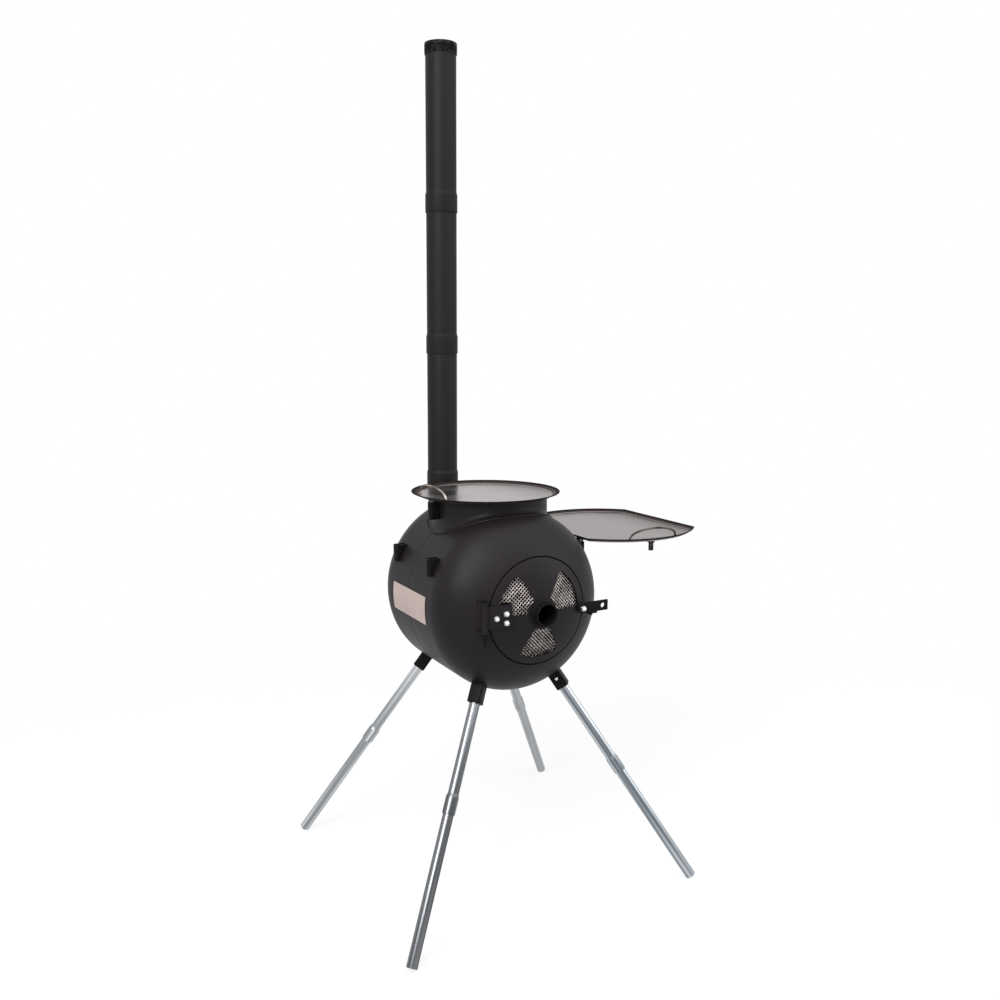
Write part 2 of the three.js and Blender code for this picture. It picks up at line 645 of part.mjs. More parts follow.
function addStraps() {
  const top = aboveAxis(SIDE_PLATE_BOTTOM - CLEARANCE) - strapDrop;
  for (const [side, sign] of [["right", 1], ["left", -1]]) {
    for (const [end, way] of [["front", -1], ["rear", 1]]) {
      const strap = strapGeometry();
      if (sign < 0) strap.rotateZ(Math.PI);
      strap.translate(sign * BODY_PEG_X, way * BODY_STRAP_SPREAD, top);
      addPiece(body, `strap_${side}_${end}`, solidOf(strap).subtract(trimBody), STOVE_BLACK);
    }
  }
  const collarTrim = rod(COLLAR_RADIUS + CLEARANCE, 0, BODY_RADIUS + STRAP_HEIGHT, 2 * BODY_FACETS);
  const collarStrap = strapGeometry().rotateZ(Math.PI);
  collarStrap.translate(cookPegX, 0, aboveAxis(COLLAR_TOP) - strapDrop);
  const trimmedStrap = solidOf(collarStrap).subtract(solidOf(collarTrim));
  addPiece(body, "strap_collar", trimmedStrap, STOVE_BLACK);
}

// ---------------------------------------------------------------- flue

const pipeBore = PIPE_RADIUS - PIPE_WALL;
const bellBore = PIPE_RADIUS + CLEARANCE;
const bellRadius = bellBore + PIPE_WALL;
// How deep a pipe's top sits in the next bell.
const pipeInsert = BELL_LENGTH - BELL_SHOULDER - CLEARANCE;
const pipeLength = PIPE_PITCH + pipeInsert;

function addFlueSocket() {
  const flue = new THREE.Group();
  flue.position.y = FLUE_AXIS_Y;
  body.add(flue);
  const trim = trimBody.translate([0, -FLUE_AXIS_Y, 0]);
  const base = aboveAxis(FLUE_SOCKET_BOTTOM);
  const bottom = base + FLUE_BASE_THICKNESS + CLEARANCE;
  const top = aboveAxis(FIRST_BELL_BOTTOM) + pipeInsert;
  const socket = solidOf(tube(PIPE_RADIUS, pipeBore, bottom, top, PIPE_FACETS)).subtract(trim);
  addPiece(flue, "flue_socket", socket, STOVE_BLACK);
  const cover = solidOf(rod(PIPE_RADIUS, base, base + FLUE_BASE_THICKNESS, PIPE_FACETS)).subtract(trim);
  addPiece(flue, "flue_base_plate", cover, STOVE_BLACK);
}

function pipeSolid() {
  const profile = closedLoop([
    [bellRadius, 0],
    [bellRadius, BELL_LENGTH - BELL_SHOULDER],
    [PIPE_RADIUS, BELL_LENGTH],
    [PIPE_RADIUS, pipeLength],
    [pipeBore, pipeLength],
    [pipeBore, BELL_LENGTH],
    [bellBore, BELL_LENGTH - BELL_SHOULDER],
    [bellBore, 0],
  ]);
  return solidOf(turned(profile, PIPE_FACETS));
}

function addChimney() {
  const names = ["chimney_lower", "chimney_middle", "chimney_upper"];
  for (let i = 0; i < PIPE_COUNT; i++) {
    const pipe = addPiece(stove, names[i], pipeSolid(), STOVE_BLACK);
    pipe.position.set(0, FLUE_AXIS_Y, FIRST_BELL_BOTTOM + i * PIPE_PITCH);
  }
  const pipeTop = FIRST_BELL_BOTTOM + (PIPE_COUNT - 1) * PIPE_PITCH + pipeLength;
  const capRadius = bellBore + CAP_WALL;
  const ledge = CLEARANCE + CAP_LEDGE_THICKNESS;
  const cap = closedLoop([
    [capRadius, -CAP_OVERLAP],
    [capRadius, CAP_RISE],
    [bellBore, CAP_RISE],
    [bellBore, ledge],
    [CAP_LEDGE_RADIUS, ledge],
    [CAP_LEDGE_RADIUS, CLEARANCE],
    [bellBore, CLEARANCE],
    [bellBore, -CAP_OVERLAP],
  ]);
  const capPiece = addPiece(stove, "spark_arrestor_cap", solidOf(turned(cap, PIPE_FACETS)), STOVE_BLACK);
  capPiece.position.set(0, FLUE_AXIS_Y, pipeTop);

  const discRadius = PIPE_RADIUS;
  const disc = new THREE.Shape().absarc(0, 0, discRadius, 0, FULL_TURN);
  const holeLimit = discRadius - SCREEN_BORDER;
  disc.holes = meshHoles(discRadius, (x, y) => Math.hypot(x, y) < holeLimit);
  const screen = solidOf(plate(disc, CAP_MESH_THICKNESS, SMALL_FACETS));
  const meshPiece = addPiece(stove, "spark_arrestor_mesh", screen, WIRE_STEEL);
  meshPiece.position.set(0, FLUE_AXIS_Y, pipeTop + ledge + CLEARANCE);
}

// ---------------------------------------------------------------- door

// Square holes on the diagonal, within a reach of the origin, whose four corners pass a test.
function meshHoles(reach, isInside) {
  const holes = [];
  const step = SCREEN_PITCH * Math.SQRT1_2;
  const corner = (SCREEN_PITCH - SCREEN_BAR) * Math.SQRT1_2;
  const count = Math.ceil(reach / step);
  for (let i = -count; i <= count; i++) {
    for (let j = -count; j <= count; j++) {
      if ((i + j) % 2 !== 0) continue;
      const [x, y] = [i * step, j * step];
      const corners = [[x + corner, y], [x, y + corner], [x - corner, y], [x, y - corner]];
      if (corners.every(([u, v]) => isInside(u, v))) {
        holes.push(new THREE.Path(corners.map(([u, v]) => new THREE.Vector2(u, v))));
      }
    }
  }
  return holes;
}

// A fan about +X between two radii, with rounded corners.
function fanShape(inner, outer, halfAngle, corner) {
  const turnOuter = Math.asin(corner / (outer - corner));
  const turnInner = Math.asin(corner / (inner + corner));
  const outerArc = halfAngle - turnOuter;
  const innerArc = halfAngle - turnInner;
  const onCircle = (radius, angle) => [radius * Math.cos(angle), radius * Math.sin(angle)];
  const shape = new THREE.Shape();
  shape.absarc(0, 0, outer, -outerArc, outerArc, false);
  shape.absarc(...onCircle(outer - corner, outerArc), corner, outerArc, halfAngle + QUARTER_TURN, false);
  shape.absarc(...onCircle(inner + corner, innerArc), corner, halfAngle + QUARTER_TURN,
    innerArc + Math.PI, false);
  shape.absarc(0, 0, inner, innerArc, -innerArc, true);
  shape.absarc(...onCircle(inner + corner, -innerArc), corner, Math.PI - innerArc,
    1.5 * Math.PI - halfAngle, false);
  shape.absarc(...onCircle(outer - corner, -outerArc), corner, -halfAngle - QUARTER_TURN,
    -outerArc, false);
  return shape;
}

const windowAngles = Array.from({ length: WINDOW_COUNT }, (_, i) =>
  QUARTER_TURN / WINDOW_COUNT + (FULL_TURN * i) / WINDOW_COUNT);

// Stands a flat X-Y geometry up to face the front, so that its Z depth runs towards -Y.
const facingFront = (geometry) => geometry.rotateX(QUARTER_TURN);

// The part of the door that stays whole under the hinge leaf.
function leafPad() {
  const reach = LEAF_HEIGHT / 2 + LEAF_PAD_MARGIN;
  const middle = aboveAxis(LEAF_MIDDLE);
  const farX = LEAF_END_X + LEAF_PAD_MARGIN;
  return solidOf(block(HINGE_X, farX, -BODY_RADIUS - DOME_DEPTH, 0, middle - reach, middle + reach));
}

function boltHoles() {
  const hole = BOLT_RADIUS + PIN_CLEARANCE;
  const cuts = [...leafBolts(), [LATCH_X, aboveAxis(LATCH_HEIGHT)]].map(([x, z]) =>
    solidOf(facingFront(rod(hole, 0, 2 * BODY_RADIUS, SMALL_FACETS)).translate(x, 0, z)));
  return cuts.reduce((sum, cut) => sum.add(cut));
}

function leafBolts() {
  const middle = aboveAxis(LEAF_MIDDLE);
  return [
    [LEAF_NEAR_BOLT_X, middle],
    [LEAF_FAR_BOLT_X, middle + LEAF_BOLT_SPREAD],
    [LEAF_FAR_BOLT_X, middle - LEAF_BOLT_SPREAD],
  ];
}

function addDoor() {
  const tubeHole = AIR_TUBE_RADIUS + CLEARANCE;
  const profile = closedLoop([
    ...domeArc(tubeHole, DOOR_RADIUS, 0),
    ...domeArc(DOOR_RADIUS, tubeHole, SHELL_WALL),
  ].map(([r, y]) => [r, -y]));
  const pad = leafPad();
  let panel = solidOf(turnedAboutY(profile, BODY_FACETS));
  for (const angle of windowAngles) {
    const fan = fanShape(WINDOW_INNER, WINDOW_OUTER, WINDOW_HALF_ANGLE, WINDOW_CORNER);
    const cutter = facingFront(plate(fan, 2 * BODY_RADIUS, SMALL_FACETS / 3));
    panel = panel.subtract(solidOf(cutter.rotateY(-angle)).subtract(pad));
  }
  addPiece(door, "door_panel", panel.subtract(boltHoles()), STOVE_BLACK);

  const stopInset = SHELL_WALL + CLEARANCE;
  const stop = closedLoop([
    ...domeArc(STOP_RING_INNER, STOP_RING_OUTER, stopInset),
    ...domeArc(STOP_RING_OUTER, STOP_RING_INNER, stopInset + STOP_RING_WALL),
  ].map(([r, y]) => [r, -y]));
  addPiece(body, "door_stop_ring", solidOf(turnedAboutY(stop, BODY_FACETS)), STOVE_BLACK);
}

// Each screen is flat and leans so that its corners lie just behind the door's curved sheet.
const screenInner = WINDOW_INNER - SCREEN_MARGIN;
const screenOuter = WINDOW_OUTER + SCREEN_MARGIN;
const screenHalfAngle = WINDOW_HALF_ANGLE + SCREEN_MARGIN / WINDOW_OUTER;
const nearLine = screenInner * Math.cos(screenHalfAngle);
const farLine = screenOuter * Math.cos(screenHalfAngle);
const nearReach = domeReach(screenInner, SHELL_WALL) - CLEARANCE;
const farReach = domeReach(screenOuter, SHELL_WALL) - CLEARANCE;
const lean = Math.atan2(nearReach - farReach, farLine - nearLine);
const stretch = 1 / Math.cos(lean);

function addScreens() {
  const isInside = (u, v) => {
    const [x, y] = [u / stretch + nearLine, v];
    const radius = Math.hypot(x, y);
    const clearOfSides = Math.abs(Math.atan2(y, x)) < screenHalfAngle - SCREEN_BORDER / radius;
    const clearOfArcs = radius > screenInner + SCREEN_BORDER && radius < screenOuter - SCREEN_BORDER;
    return clearOfSides && clearOfArcs;
  };
  const outline = screenOutline();
  outline.holes = meshHoles(screenOuter, isInside);
  const flat = facingFront(plate(outline, SCREEN_THICKNESS).translate(0, 0, -SCREEN_THICKNESS));
  const pad = leafPad();
  windowAngles.forEach((angle, i) => {
    const screen = flat.clone();
    screen.rotateZ(lean);
    screen.translate(nearLine, -nearReach, 0);
    screen.rotateY(-angle);
    addPiece(door, `window_screen_${i + 1}`, solidOf(screen).subtract(pad), WIRE_STEEL);
  });
}

function screenOutline() {
  const points = [];
  const arc = (radius, from, to) => {
    for (let i = 0; i <= ARC_STEPS; i++) {
      const angle = from + ((to - from) * i) / ARC_STEPS;
      points.push([(radius * Math.cos(angle) - nearLine) * stretch, radius * Math.sin(angle)]);
    }
  };
  arc(screenOuter, -screenHalfAngle, screenHalfAngle);
  arc(screenInner, screenHalfAngle, -screenHalfAngle);
  return polygon(points);
}

function addAirTube() {
  const flangeBack = domeReach(AIR_TUBE_RADIUS) + CLEARANCE;
  const profile = closedLoop([
    [AIR_TUBE_RADIUS, -AIR_TUBE_BACK],
    [AIR_TUBE_RADIUS, -flangeBack],
    [AIR_FLANGE_RADIUS, -flangeBack],
    [AIR_FLANGE_RADIUS, -flangeBack - AIR_FLANGE_THICKNESS / 2],
    [AIR_TUBE_RADIUS + CLEARANCE, -flangeBack - AIR_FLANGE_THICKNESS],
    [AIR_TUBE_RADIUS, -AIR_TUBE_FRONT + CLEARANCE],
    [AIR_TUBE_RADIUS - CLEARANCE, -AIR_TUBE_FRONT],
    [AIR_TUBE_BORE, -AIR_TUBE_FRONT],
    [AIR_TUBE_BORE, -AIR_TUBE_BACK],
  ]);
  addPiece(door, "air_tube", solidOf(turnedAboutY(profile, PIPE_FACETS)), STOVE_BLACK);

  const screenBack =
    nearReach - Math.tan(lean) * (RING_NUT_RADIUS - nearLine) - stretch * SCREEN_THICKNESS;
  const front = screenBack - CLEARANCE;
  const bore = AIR_TUBE_RADIUS + CLEARANCE;
  const nut = closedLoop([
    [bore, -front],
    [RING_NUT_RADIUS, -front],
    [RING_NUT_RADIUS, RING_NUT_THICKNESS - front],
    [bore, RING_NUT_THICKNESS - front],
  ]);
  addPiece(door, "air_tube_ring_nut", solidOf(turnedAboutY(nut, PIPE_FACETS)), STOVE_BLACK);
}

// ---------------------------------------------------------------- hinge

// The flat leaf lies on the plane that touches the dome at LEAF_TOUCH_X.
const leafSlope = Math.atan2(
  domeReach(Math.abs(LEAF_TOUCH_X) - 1) - domeReach(Math.abs(LEAF_TOUCH_X) + 1), 2);
const leafBackAt = (x) =>
  -domeReach(Math.abs(LEAF_TOUCH_X)) - CLEARANCE - Math.tan(leafSlope) * (x - LEAF_TOUCH_X);

function addHinge() {
  const boreRadius = HINGE_PIN_RADIUS + PIN_CLEARANCE;
  const across = LEAF_THICKNESS / Math.cos(leafSlope);
  const leafOutline = polygon([
    [HINGE_X + HINGE_PIN_RADIUS, leafBackAt(HINGE_X + HINGE_PIN_RADIUS)],
    [LEAF_END_X, leafBackAt(LEAF_END_X)],
    [LEAF_END_X, leafBackAt(LEAF_END_X) - across],
    [HINGE_X + HINGE_PIN_RADIUS, leafBackAt(HINGE_X + HINGE_PIN_RADIUS) - across],
  ]);
  const leafBottom = aboveAxis(LEAF_MIDDLE) - LEAF_HEIGHT / 2;
  const flat = solidOf(plate(leafOutline, LEAF_HEIGHT).translate(0, 0, leafBottom));
  const [knuckleBottom, knuckleTop] = [aboveAxis(KNUCKLE_BOTTOM), aboveAxis(KNUCKLE_TOP)];
  const atHinge = (geometry) => solidOf(geometry.translate(HINGE_X, HINGE_Y, 0));
  const knuckle = atHinge(rod(KNUCKLE_RADIUS, knuckleBottom, knuckleTop, SMALL_FACETS));
  const bore = atHinge(rod(boreRadius, -BODY_RADIUS, BODY_RADIUS, SMALL_FACETS));
  const leaf = flat.add(knuckle).subtract(bore).subtract(boltHoles());
  addPiece(door, "hinge_leaf", leaf, STOVE_BLACK);

  const lugOutline = new THREE.Shape();
  const backY = HINGE_Y + 3 * LUG_NOSE_RADIUS;
  lugOutline.moveTo(HINGE_X + LUG_NOSE_RADIUS, backY);
  lugOutline.lineTo(LUG_OUTER_X, backY);
  lugOutline.lineTo(LUG_OUTER_X, HINGE_Y);
  lugOutline.lineTo(HINGE_X, HINGE_Y - LUG_NOSE_RADIUS);
  lugOutline.absarc(HINGE_X, HINGE_Y, LUG_NOSE_RADIUS, -QUARTER_TURN, 0, false);
  const lug = () => plate(lugOutline, LUG_THICKNESS, SMALL_FACETS / 3);
  const lowerLug = knuckleBottom - CLEARANCE - LUG_THICKNESS;
  const upperLug = knuckleTop + CLEARANCE;
  const webOuter = bodyEnvelope(CLEARANCE + BRACKET_WEB_WALL);
  const webBlock = block(LUG_OUTER_X, HINGE_X, -BODY_RADIUS - DOME_DEPTH, 0, lowerLug,
    upperLug + LUG_THICKNESS);
  const web = solidOf(webBlock).intersect(webOuter);
  const bracket = solidOf(lug().translate(0, 0, lowerLug))
    .add(solidOf(lug().translate(0, 0, upperLug)))
    .add(web)
    .subtract(trimBody)
    .subtract(bore);
  addPiece(body, "hinge_bracket", bracket, STOVE_BLACK);

  const headBottom = upperLug + LUG_THICKNESS + CLEARANCE;
  const pin = turned([
    [0, lowerLug - PIN_TAIL],
    [HINGE_PIN_RADIUS, lowerLug - PIN_TAIL],
    [HINGE_PIN_RADIUS, lowerLug - CLEARANCE - PIN_SLEEVE],
    [PIN_HEAD_RADIUS, lowerLug - CLEARANCE - PIN_SLEEVE],
    [PIN_HEAD_RADIUS, lowerLug - CLEARANCE],
    [HINGE_PIN_RADIUS, lowerLug - CLEARANCE],
    [HINGE_PIN_RADIUS, headBottom],
    [PIN_HEAD_RADIUS, headBottom],
    [PIN_HEAD_RADIUS, headBottom + PIN_HEAD_HEIGHT],
    [0, headBottom + PIN_HEAD_HEIGHT],
  ], SMALL_FACETS);
  const pinPiece = addPiece(body, "hinge_pin", solidOf(pin), STOVE_BLACK);
  pinPiece.position.set(HINGE_X, HINGE_Y, 0);
}

// A bolt along Y with a domed nut in front and a flat head inside.
function boltSolid(nutBack, headFront) {
  const domeStart = nutBack + NUT_SKIRT;
  const dome = Array.from({ length: 4 }, (_, i) => {
    const angle = (QUARTER_TURN * (i + 1)) / 4;
    return [NUT_RADIUS * Math.cos(angle), domeStart + NUT_DOME * Math.sin(angle)];
  });
  dome[3][0] = 0;
  const profile = [
    [0, headFront - BOLT_HEAD_THICKNESS],
    [BOLT_HEAD_RADIUS, headFront - BOLT_HEAD_THICKNESS],
    [BOLT_HEAD_RADIUS, headFront],
    [BOLT_RADIUS, headFront],
    [BOLT_RADIUS, nutBack],
    [NUT_RADIUS, nutBack],
    [NUT_RADIUS, domeStart],
    ...dome,
  ];
  return solidOf(turnedAboutY(profile.map(([r, reach]) => [r, -reach]), SMALL_FACETS));
}

// The dome's curve lies further back at the outer side of a nut or head than at its middle.
function headReach(x, z) {
  return domeReach(Math.hypot(x, z) + BOLT_HEAD_RADIUS, SHELL_WALL) - CLEARANCE;
}

function addLeafBolts() {
  leafBolts().forEach(([x, z], i) => {
    const leafFront = -leafBackAt(x + NUT_RADIUS) + LEAF_THICKNESS / Math.cos(leafSlope);
    const bolt = boltSolid(leafFront + CLEARANCE, headReach(x, z));
    const piece = addPiece(door, `hinge_bolt_${i + 1}`, bolt, ZINC);
    piece.position.set(x, 0, z);
  });
}

// ---------------------------------------------------------------- latch

function addLatch() {
  const pivotZ = aboveAxis(LATCH_HEIGHT);
  const barFront = LATCH_BAR_BACK - LATCH_BAR_THICKNESS;
  const half = LATCH_BAR_DEPTH / 2;
  const outline = new THREE.Shape();
  outline.moveTo(0, -half);
  outline.lineTo(LATCH_BAR_END - LATCH_X, -half);
  outline.lineTo(LATCH_BAR_END - LATCH_X, half);
  outline.lineTo(0, half);
  outline.absarc(0, 0, half, QUARTER_TURN, 3 * QUARTER_TURN, false);
  outline.holes = [
    new THREE.Path().absarc(0, 0, BOLT_RADIUS + PIN_CLEARANCE, 0, FULL_TURN),
    new THREE.Path().absarc(LATCH_HOLE_X - LATCH_X, 0, LATCH_HOLE_RADIUS, 0, FULL_TURN),
  ];
  const bar = facingFront(plate(outline, LATCH_BAR_THICKNESS, SMALL_FACETS / 2));
  const barPiece = addPiece(door, "latch_bar", solidOf(bar), STOVE_BLACK);
  barPiece.position.set(LATCH_X, LATCH_BAR_BACK, pivotZ);

  const spacer = facingFront(tube(SPACER_RADIUS, BOLT_RADIUS + PIN_CLEARANCE, 0,
    -LATCH_BAR_BACK - CLEARANCE, SMALL_FACETS)).translate(LATCH_X, 0, pivotZ);
  addPiece(door, "latch_spacer", solidOf(spacer).subtract(trimBody), STOVE_BLACK);

  const bolt = boltSolid(-barFront + CLEARANCE, headReach(LATCH_X, pivotZ));
  addPiece(door, "latch_bolt", bolt, ZINC).position.set(LATCH_X, 0, pivotZ);

  const ledgeTop = pivotZ - half - CLEARANCE;
  const ledge = block(LEDGE_START_X, LEDGE_END_X, barFront, -BARREL_LENGTH / 2,
    ledgeTop - LEDGE_THICKNESS, ledgeTop);
  const web = block(LEDGE_START_X, LEDGE_START_X + LEDGE_THICKNESS, barFront, -BARREL_LENGTH / 2,
    ledgeTop - LEDGE_WEB_DROP, ledgeTop);
  const bracket = solidOf(ledge).add(solidOf(web)).subtract(trimBody);
  addPiece(body, "latch_ledge", bracket, STOVE_BLACK);
}

// ---------------------------------------------------------------- legs

const legRun = Math.hypot(FOOT_X - MOUTH_X, FOOT_Y - MOUTH_Y);
const legTilt = Math.atan2(legRun, MOUTH_HEIGHT);
// The tube is cut square, so its lower edge touches the floor while its axis ends a little higher.
const legReach = (MOUTH_HEIGHT - LEG_RADIUS * Math.sin(legTilt)) / Math.cos(legTilt);

const swageBore = LEG_RADIUS + CLEARANCE;
const swageRadius = swageBore + SWAGE_WALL;

// In a leg's frame the mouth is the origin, Z runs up the leg and X lies in its upright plane.
function socketGeometry() {
  const half = SOCKET_SIDE / 2;
  const straight = half - SOCKET_CORNER;
  const outline = new THREE.Shape();
  for (let i = 0; i < 4; i++) {
    const start = i * QUARTER_TURN;
    const x = straight * Math.SQRT2 * Math.cos(start + QUARTER_TURN / 2);
    const y = straight * Math.SQRT2 * Math.sin(start + QUARTER_TURN / 2);
    outline.absarc(x, y, SOCKET_CORNER, start, start + QUARTER_TURN, false);
  }
  return plate(outline, SOCKET_LENGTH, 3);
}

function upperLegSolid() {
  const top = SOCKET_DEPTH - CLEARANCE;
  const bore = LEG_RADIUS - LEG_WALL;
  const profile = closedLoop([
    [LEG_RADIUS, top],
    [bore, top],
    [bore, -SWAGE_START],
    [swageBore, -SWAGE_START - SWAGE_SHOULDER],
    [swageBore, -SWAGE_START - SWAGE_LENGTH],
    [swageRadius, -SWAGE_START - SWAGE_LENGTH],
    [swageRadius, -SWAGE_START - SWAGE_SHOULDER],
    [LEG_RADIUS, -SWAGE_START],
  ]);
  return solidOf(turned(profile, LEG_FACETS));
}

function lowerLegSolid() {
  const top = -SWAGE_START - SWAGE_SHOULDER - CLEARANCE;
  return solidOf(tube(LEG_RADIUS, LEG_RADIUS - LEG_WALL, -legReach, top, LEG_FACETS));
}

function addLegs() {
  const bore = solidOf(rod(LEG_RADIUS + CLEARANCE, -SOCKET_DEPTH, SOCKET_DEPTH, LEG_FACETS));
  const screwShaft = solidOf(rod(SCREW_RADIUS + PIN_CLEARANCE, 0, SOCKET_SIDE, SMALL_FACETS / 2)
    .rotateX(QUARTER_TURN).translate(0, 0, SCREW_FROM_MOUTH));
  const screwTip = LEG_RADIUS + CLEARANCE;
  const headSeat = SOCKET_SIDE / 2 + CLEARANCE;
  const screw = turned([
    [0, screwTip],
    [SCREW_RADIUS, screwTip],
    [SCREW_RADIUS, headSeat],
    [SCREW_HEAD_RADIUS, headSeat],
    [SCREW_HEAD_RADIUS * Math.cos(QUARTER_TURN / 2), headSeat + SCREW_HEAD_HEIGHT],
    [0, headSeat + SCREW_HEAD_HEIGHT],
  ], SMALL_FACETS / 2).rotateX(QUARTER_TURN).translate(0, 0, SCREW_FROM_MOUTH);

  for (const [end, way] of [["front", -1], ["rear", 1]]) {
    for (const [side, sign] of [["left", -1], ["right", 1]]) {
      const mouth = new THREE.Vector3(sign * MOUTH_X, way * MOUTH_Y, MOUTH_HEIGHT);
      const foot = new THREE.Vector3(sign * FOOT_X, way * FOOT_Y, 0);
      const up = mouth.clone().sub(foot).normalize();
      const tangent = new THREE.Vector3(0, 0, 1).cross(foot.clone().setZ(0).sub(mouth.clone().setZ(0)));
      tangent.normalize();
      const outward = tangent.clone().cross(up);
      const frame = new THREE.Matrix4().makeBasis(outward, tangent, up).setPosition(mouth);
      const leg = new THREE.Group();
      leg.applyMatrix4(frame);
      stove.add(leg);

      const toLeg = frame.clone().invert();
      const trim = trimBody.translate([0, 0, BODY_AXIS_HEIGHT]).transform(toLeg.elements);
      const socket = solidOf(socketGeometry()).subtract(bore).subtract(screwShaft).subtract(trim);
      addPiece(leg, `leg_socket_${end}_${side}`, socket, STOVE_BLACK);
      addPiece(leg, `leg_screw_${end}_${side}`, solidOf(screw), ZINC);
      addPiece(leg, `leg_upper_${end}_${side}`, upperLegSolid(), ZINC);
      addPiece(leg, `leg_lower_${end}_${side}`, lowerLegSolid(), ZINC);
    }
  }
}

// ---------------------------------------------------------------- grate and blank plate

// Half the width inside the shells at a height below the axis, for a wall of a given radius.
const halfWidthInside = (radius, height) => Math.sqrt(radius ** 2 - height ** 2);

function addGrate() {
  const bottom = aboveAxis(GRATE_HEIGHT);
  const shellInside = (BODY_RADIUS - SHELL_WALL) * Math.cos(Math.PI / BODY_FACETS);
  const ringInside = shellInside - CLEARANCE - BACKING_WALL;
  const wide = halfWidthInside(shellInside - CLEARANCE, bottom);
  const narrow = halfWidthInside(ringInside - CLEARANCE, bottom);
  const notch = BACKING_WIDTH / 2 + GRATE_NOTCH_MARGIN;
  const end = GRATE_LENGTH / 2;
  const right = [
    [wide, -end],
    [wide, -notch],
    [narrow, -notch],
    [narrow, notch],
    [wide, notch],
    [wide, end],
  ];
  const left = right.map(([x, y]) => [-x, -y]);
  const outline = polygon([...right, ...left]);
  const slotPitch = (2 * (narrow - GRATE_SLOT_MARGIN)) / GRATE_SLOTS;
  const slotEnd = end - GRATE_SLOT_MARGIN;
  let bars = solidOf(plate(outline, GRATE_THICKNESS));
  for (let i = 0; i < GRATE_SLOTS; i++) {
    const x = (i - (GRATE_SLOTS - 1) / 2) * slotPitch;
    const half = GRATE_SLOT_WIDTH / 2;
    const slot = block(x - half, x + half, -slotEnd, slotEnd, -GRATE_THICKNESS, 2 * GRATE_THICKNESS);
    bars = bars.subtract(solidOf(slot));
  }
  const grate = addPiece(body, "fire_grate", bars, STOVE_BLACK);
  grate.position.z = bottom;
}

function addLabelPlate() {
  const inside = BODY_RADIUS + CLEARANCE;
  const wrap = turnedAboutY(closedLoop([
    [inside, -LABEL_LENGTH / 2],
    [inside + LABEL_THICKNESS, -LABEL_LENGTH / 2],
    [inside + LABEL_THICKNESS, LABEL_LENGTH / 2],
    [inside, LABEL_LENGTH / 2],
  ]), BODY_FACETS);
  const window = block(-2 * BODY_RADIUS, 0, -BODY_RADIUS, BODY_RADIUS,
    aboveAxis(LABEL_BOTTOM), aboveAxis(LABEL_TOP));
  addPiece(body, "blank_plate", solidOf(wrap).intersect(solidOf(window)), BLANK_PAPER);
}

// ---------------------------------------------------------------- assembly

addShells();
addCollar();
addCookPlate();
addSidePlate();
addHandles();
addPegs();
addStraps();
addFlueSocket();
addChimney();
addDoor();
addScreens();
addAirTube();
addHinge();
addLeafBolts();
addLatch();
addLegs();
addGrate();
addLabelPlate();

// The origin lies on the floor under the middle of the whole stove.
part.updateMatrixWorld(true);
const extent = new THREE.Box3().setFromObject(stove, true);
const middle = extent.getCenter(new THREE.Vector3());
stove.position.set(-middle.x, -middle.y, -extent.min.z);

export default part;
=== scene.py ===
# %% [markdown]
# # A tent wood stove, dressed in Blender
# The stove is a rounded body of two pressed steel domes on four splayed legs, with a cook plate on a
# collar, a side plate, a hinged door with mesh windows and a flue of three pipes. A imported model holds
# every piece in its true place. This lesson builds a smooth, finished piece over each solid.

# %% The fixed frame
import math

import bmesh
import bpy
from mathutils import Matrix, Vector


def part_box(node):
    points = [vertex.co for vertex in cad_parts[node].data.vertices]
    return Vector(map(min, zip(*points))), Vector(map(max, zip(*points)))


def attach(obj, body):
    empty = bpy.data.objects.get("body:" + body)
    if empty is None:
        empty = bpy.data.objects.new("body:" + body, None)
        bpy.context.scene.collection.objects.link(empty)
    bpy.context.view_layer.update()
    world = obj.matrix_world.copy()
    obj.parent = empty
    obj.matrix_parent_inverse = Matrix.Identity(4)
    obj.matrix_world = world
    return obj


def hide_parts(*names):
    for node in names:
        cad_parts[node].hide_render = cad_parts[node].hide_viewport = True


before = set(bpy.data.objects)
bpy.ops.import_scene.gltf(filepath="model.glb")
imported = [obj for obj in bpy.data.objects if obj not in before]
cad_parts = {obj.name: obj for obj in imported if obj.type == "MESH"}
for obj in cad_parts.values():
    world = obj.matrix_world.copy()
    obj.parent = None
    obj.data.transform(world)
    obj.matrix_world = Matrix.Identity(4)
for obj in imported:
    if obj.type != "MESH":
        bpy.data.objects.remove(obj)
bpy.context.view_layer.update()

# %% [markdown]
# The drawing of the stove is in millimetres, with X = 0 in the middle of the body. The shared frame is in
# metres, with X = 0 in the middle of everything, side plate included. One matrix carries a finished shape
# from the first to the second, so every number below can be a real dimension of the stove.

# %% From the drawing to the shared frame
MM = 0.001
FULL_TURN = 2 * math.pi
QUARTER_TURN = math.pi / 2
shell_low, shell_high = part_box("rear_shell")
STOVE_X = (shell_low.x + shell_high.x) / 2
TO_FRAME = Matrix.Translation((STOVE_X, 0, 0)) @ Matrix.Scale(MM, 4)
print("middle of the body at x =", round(STOVE_X, 4))

# %% [markdown]
# ## The camera
# The photograph was taken from above the plates, in front of the door and to its left. The place and the
# lens come from fitting the stove's straight edges and circles to the photograph.

# %% Camera
CAMERA_PLACE = Vector((-918.2, -1658.0, 1047.3))
CAMERA_YAW = 0.5163  # radians to the right of +Y
CAMERA_PITCH = 0.1599  # radians down
CAMERA_ROLL = 0.0048
CAMERA_LENS = 35.285  # on a sensor 36 mm wide

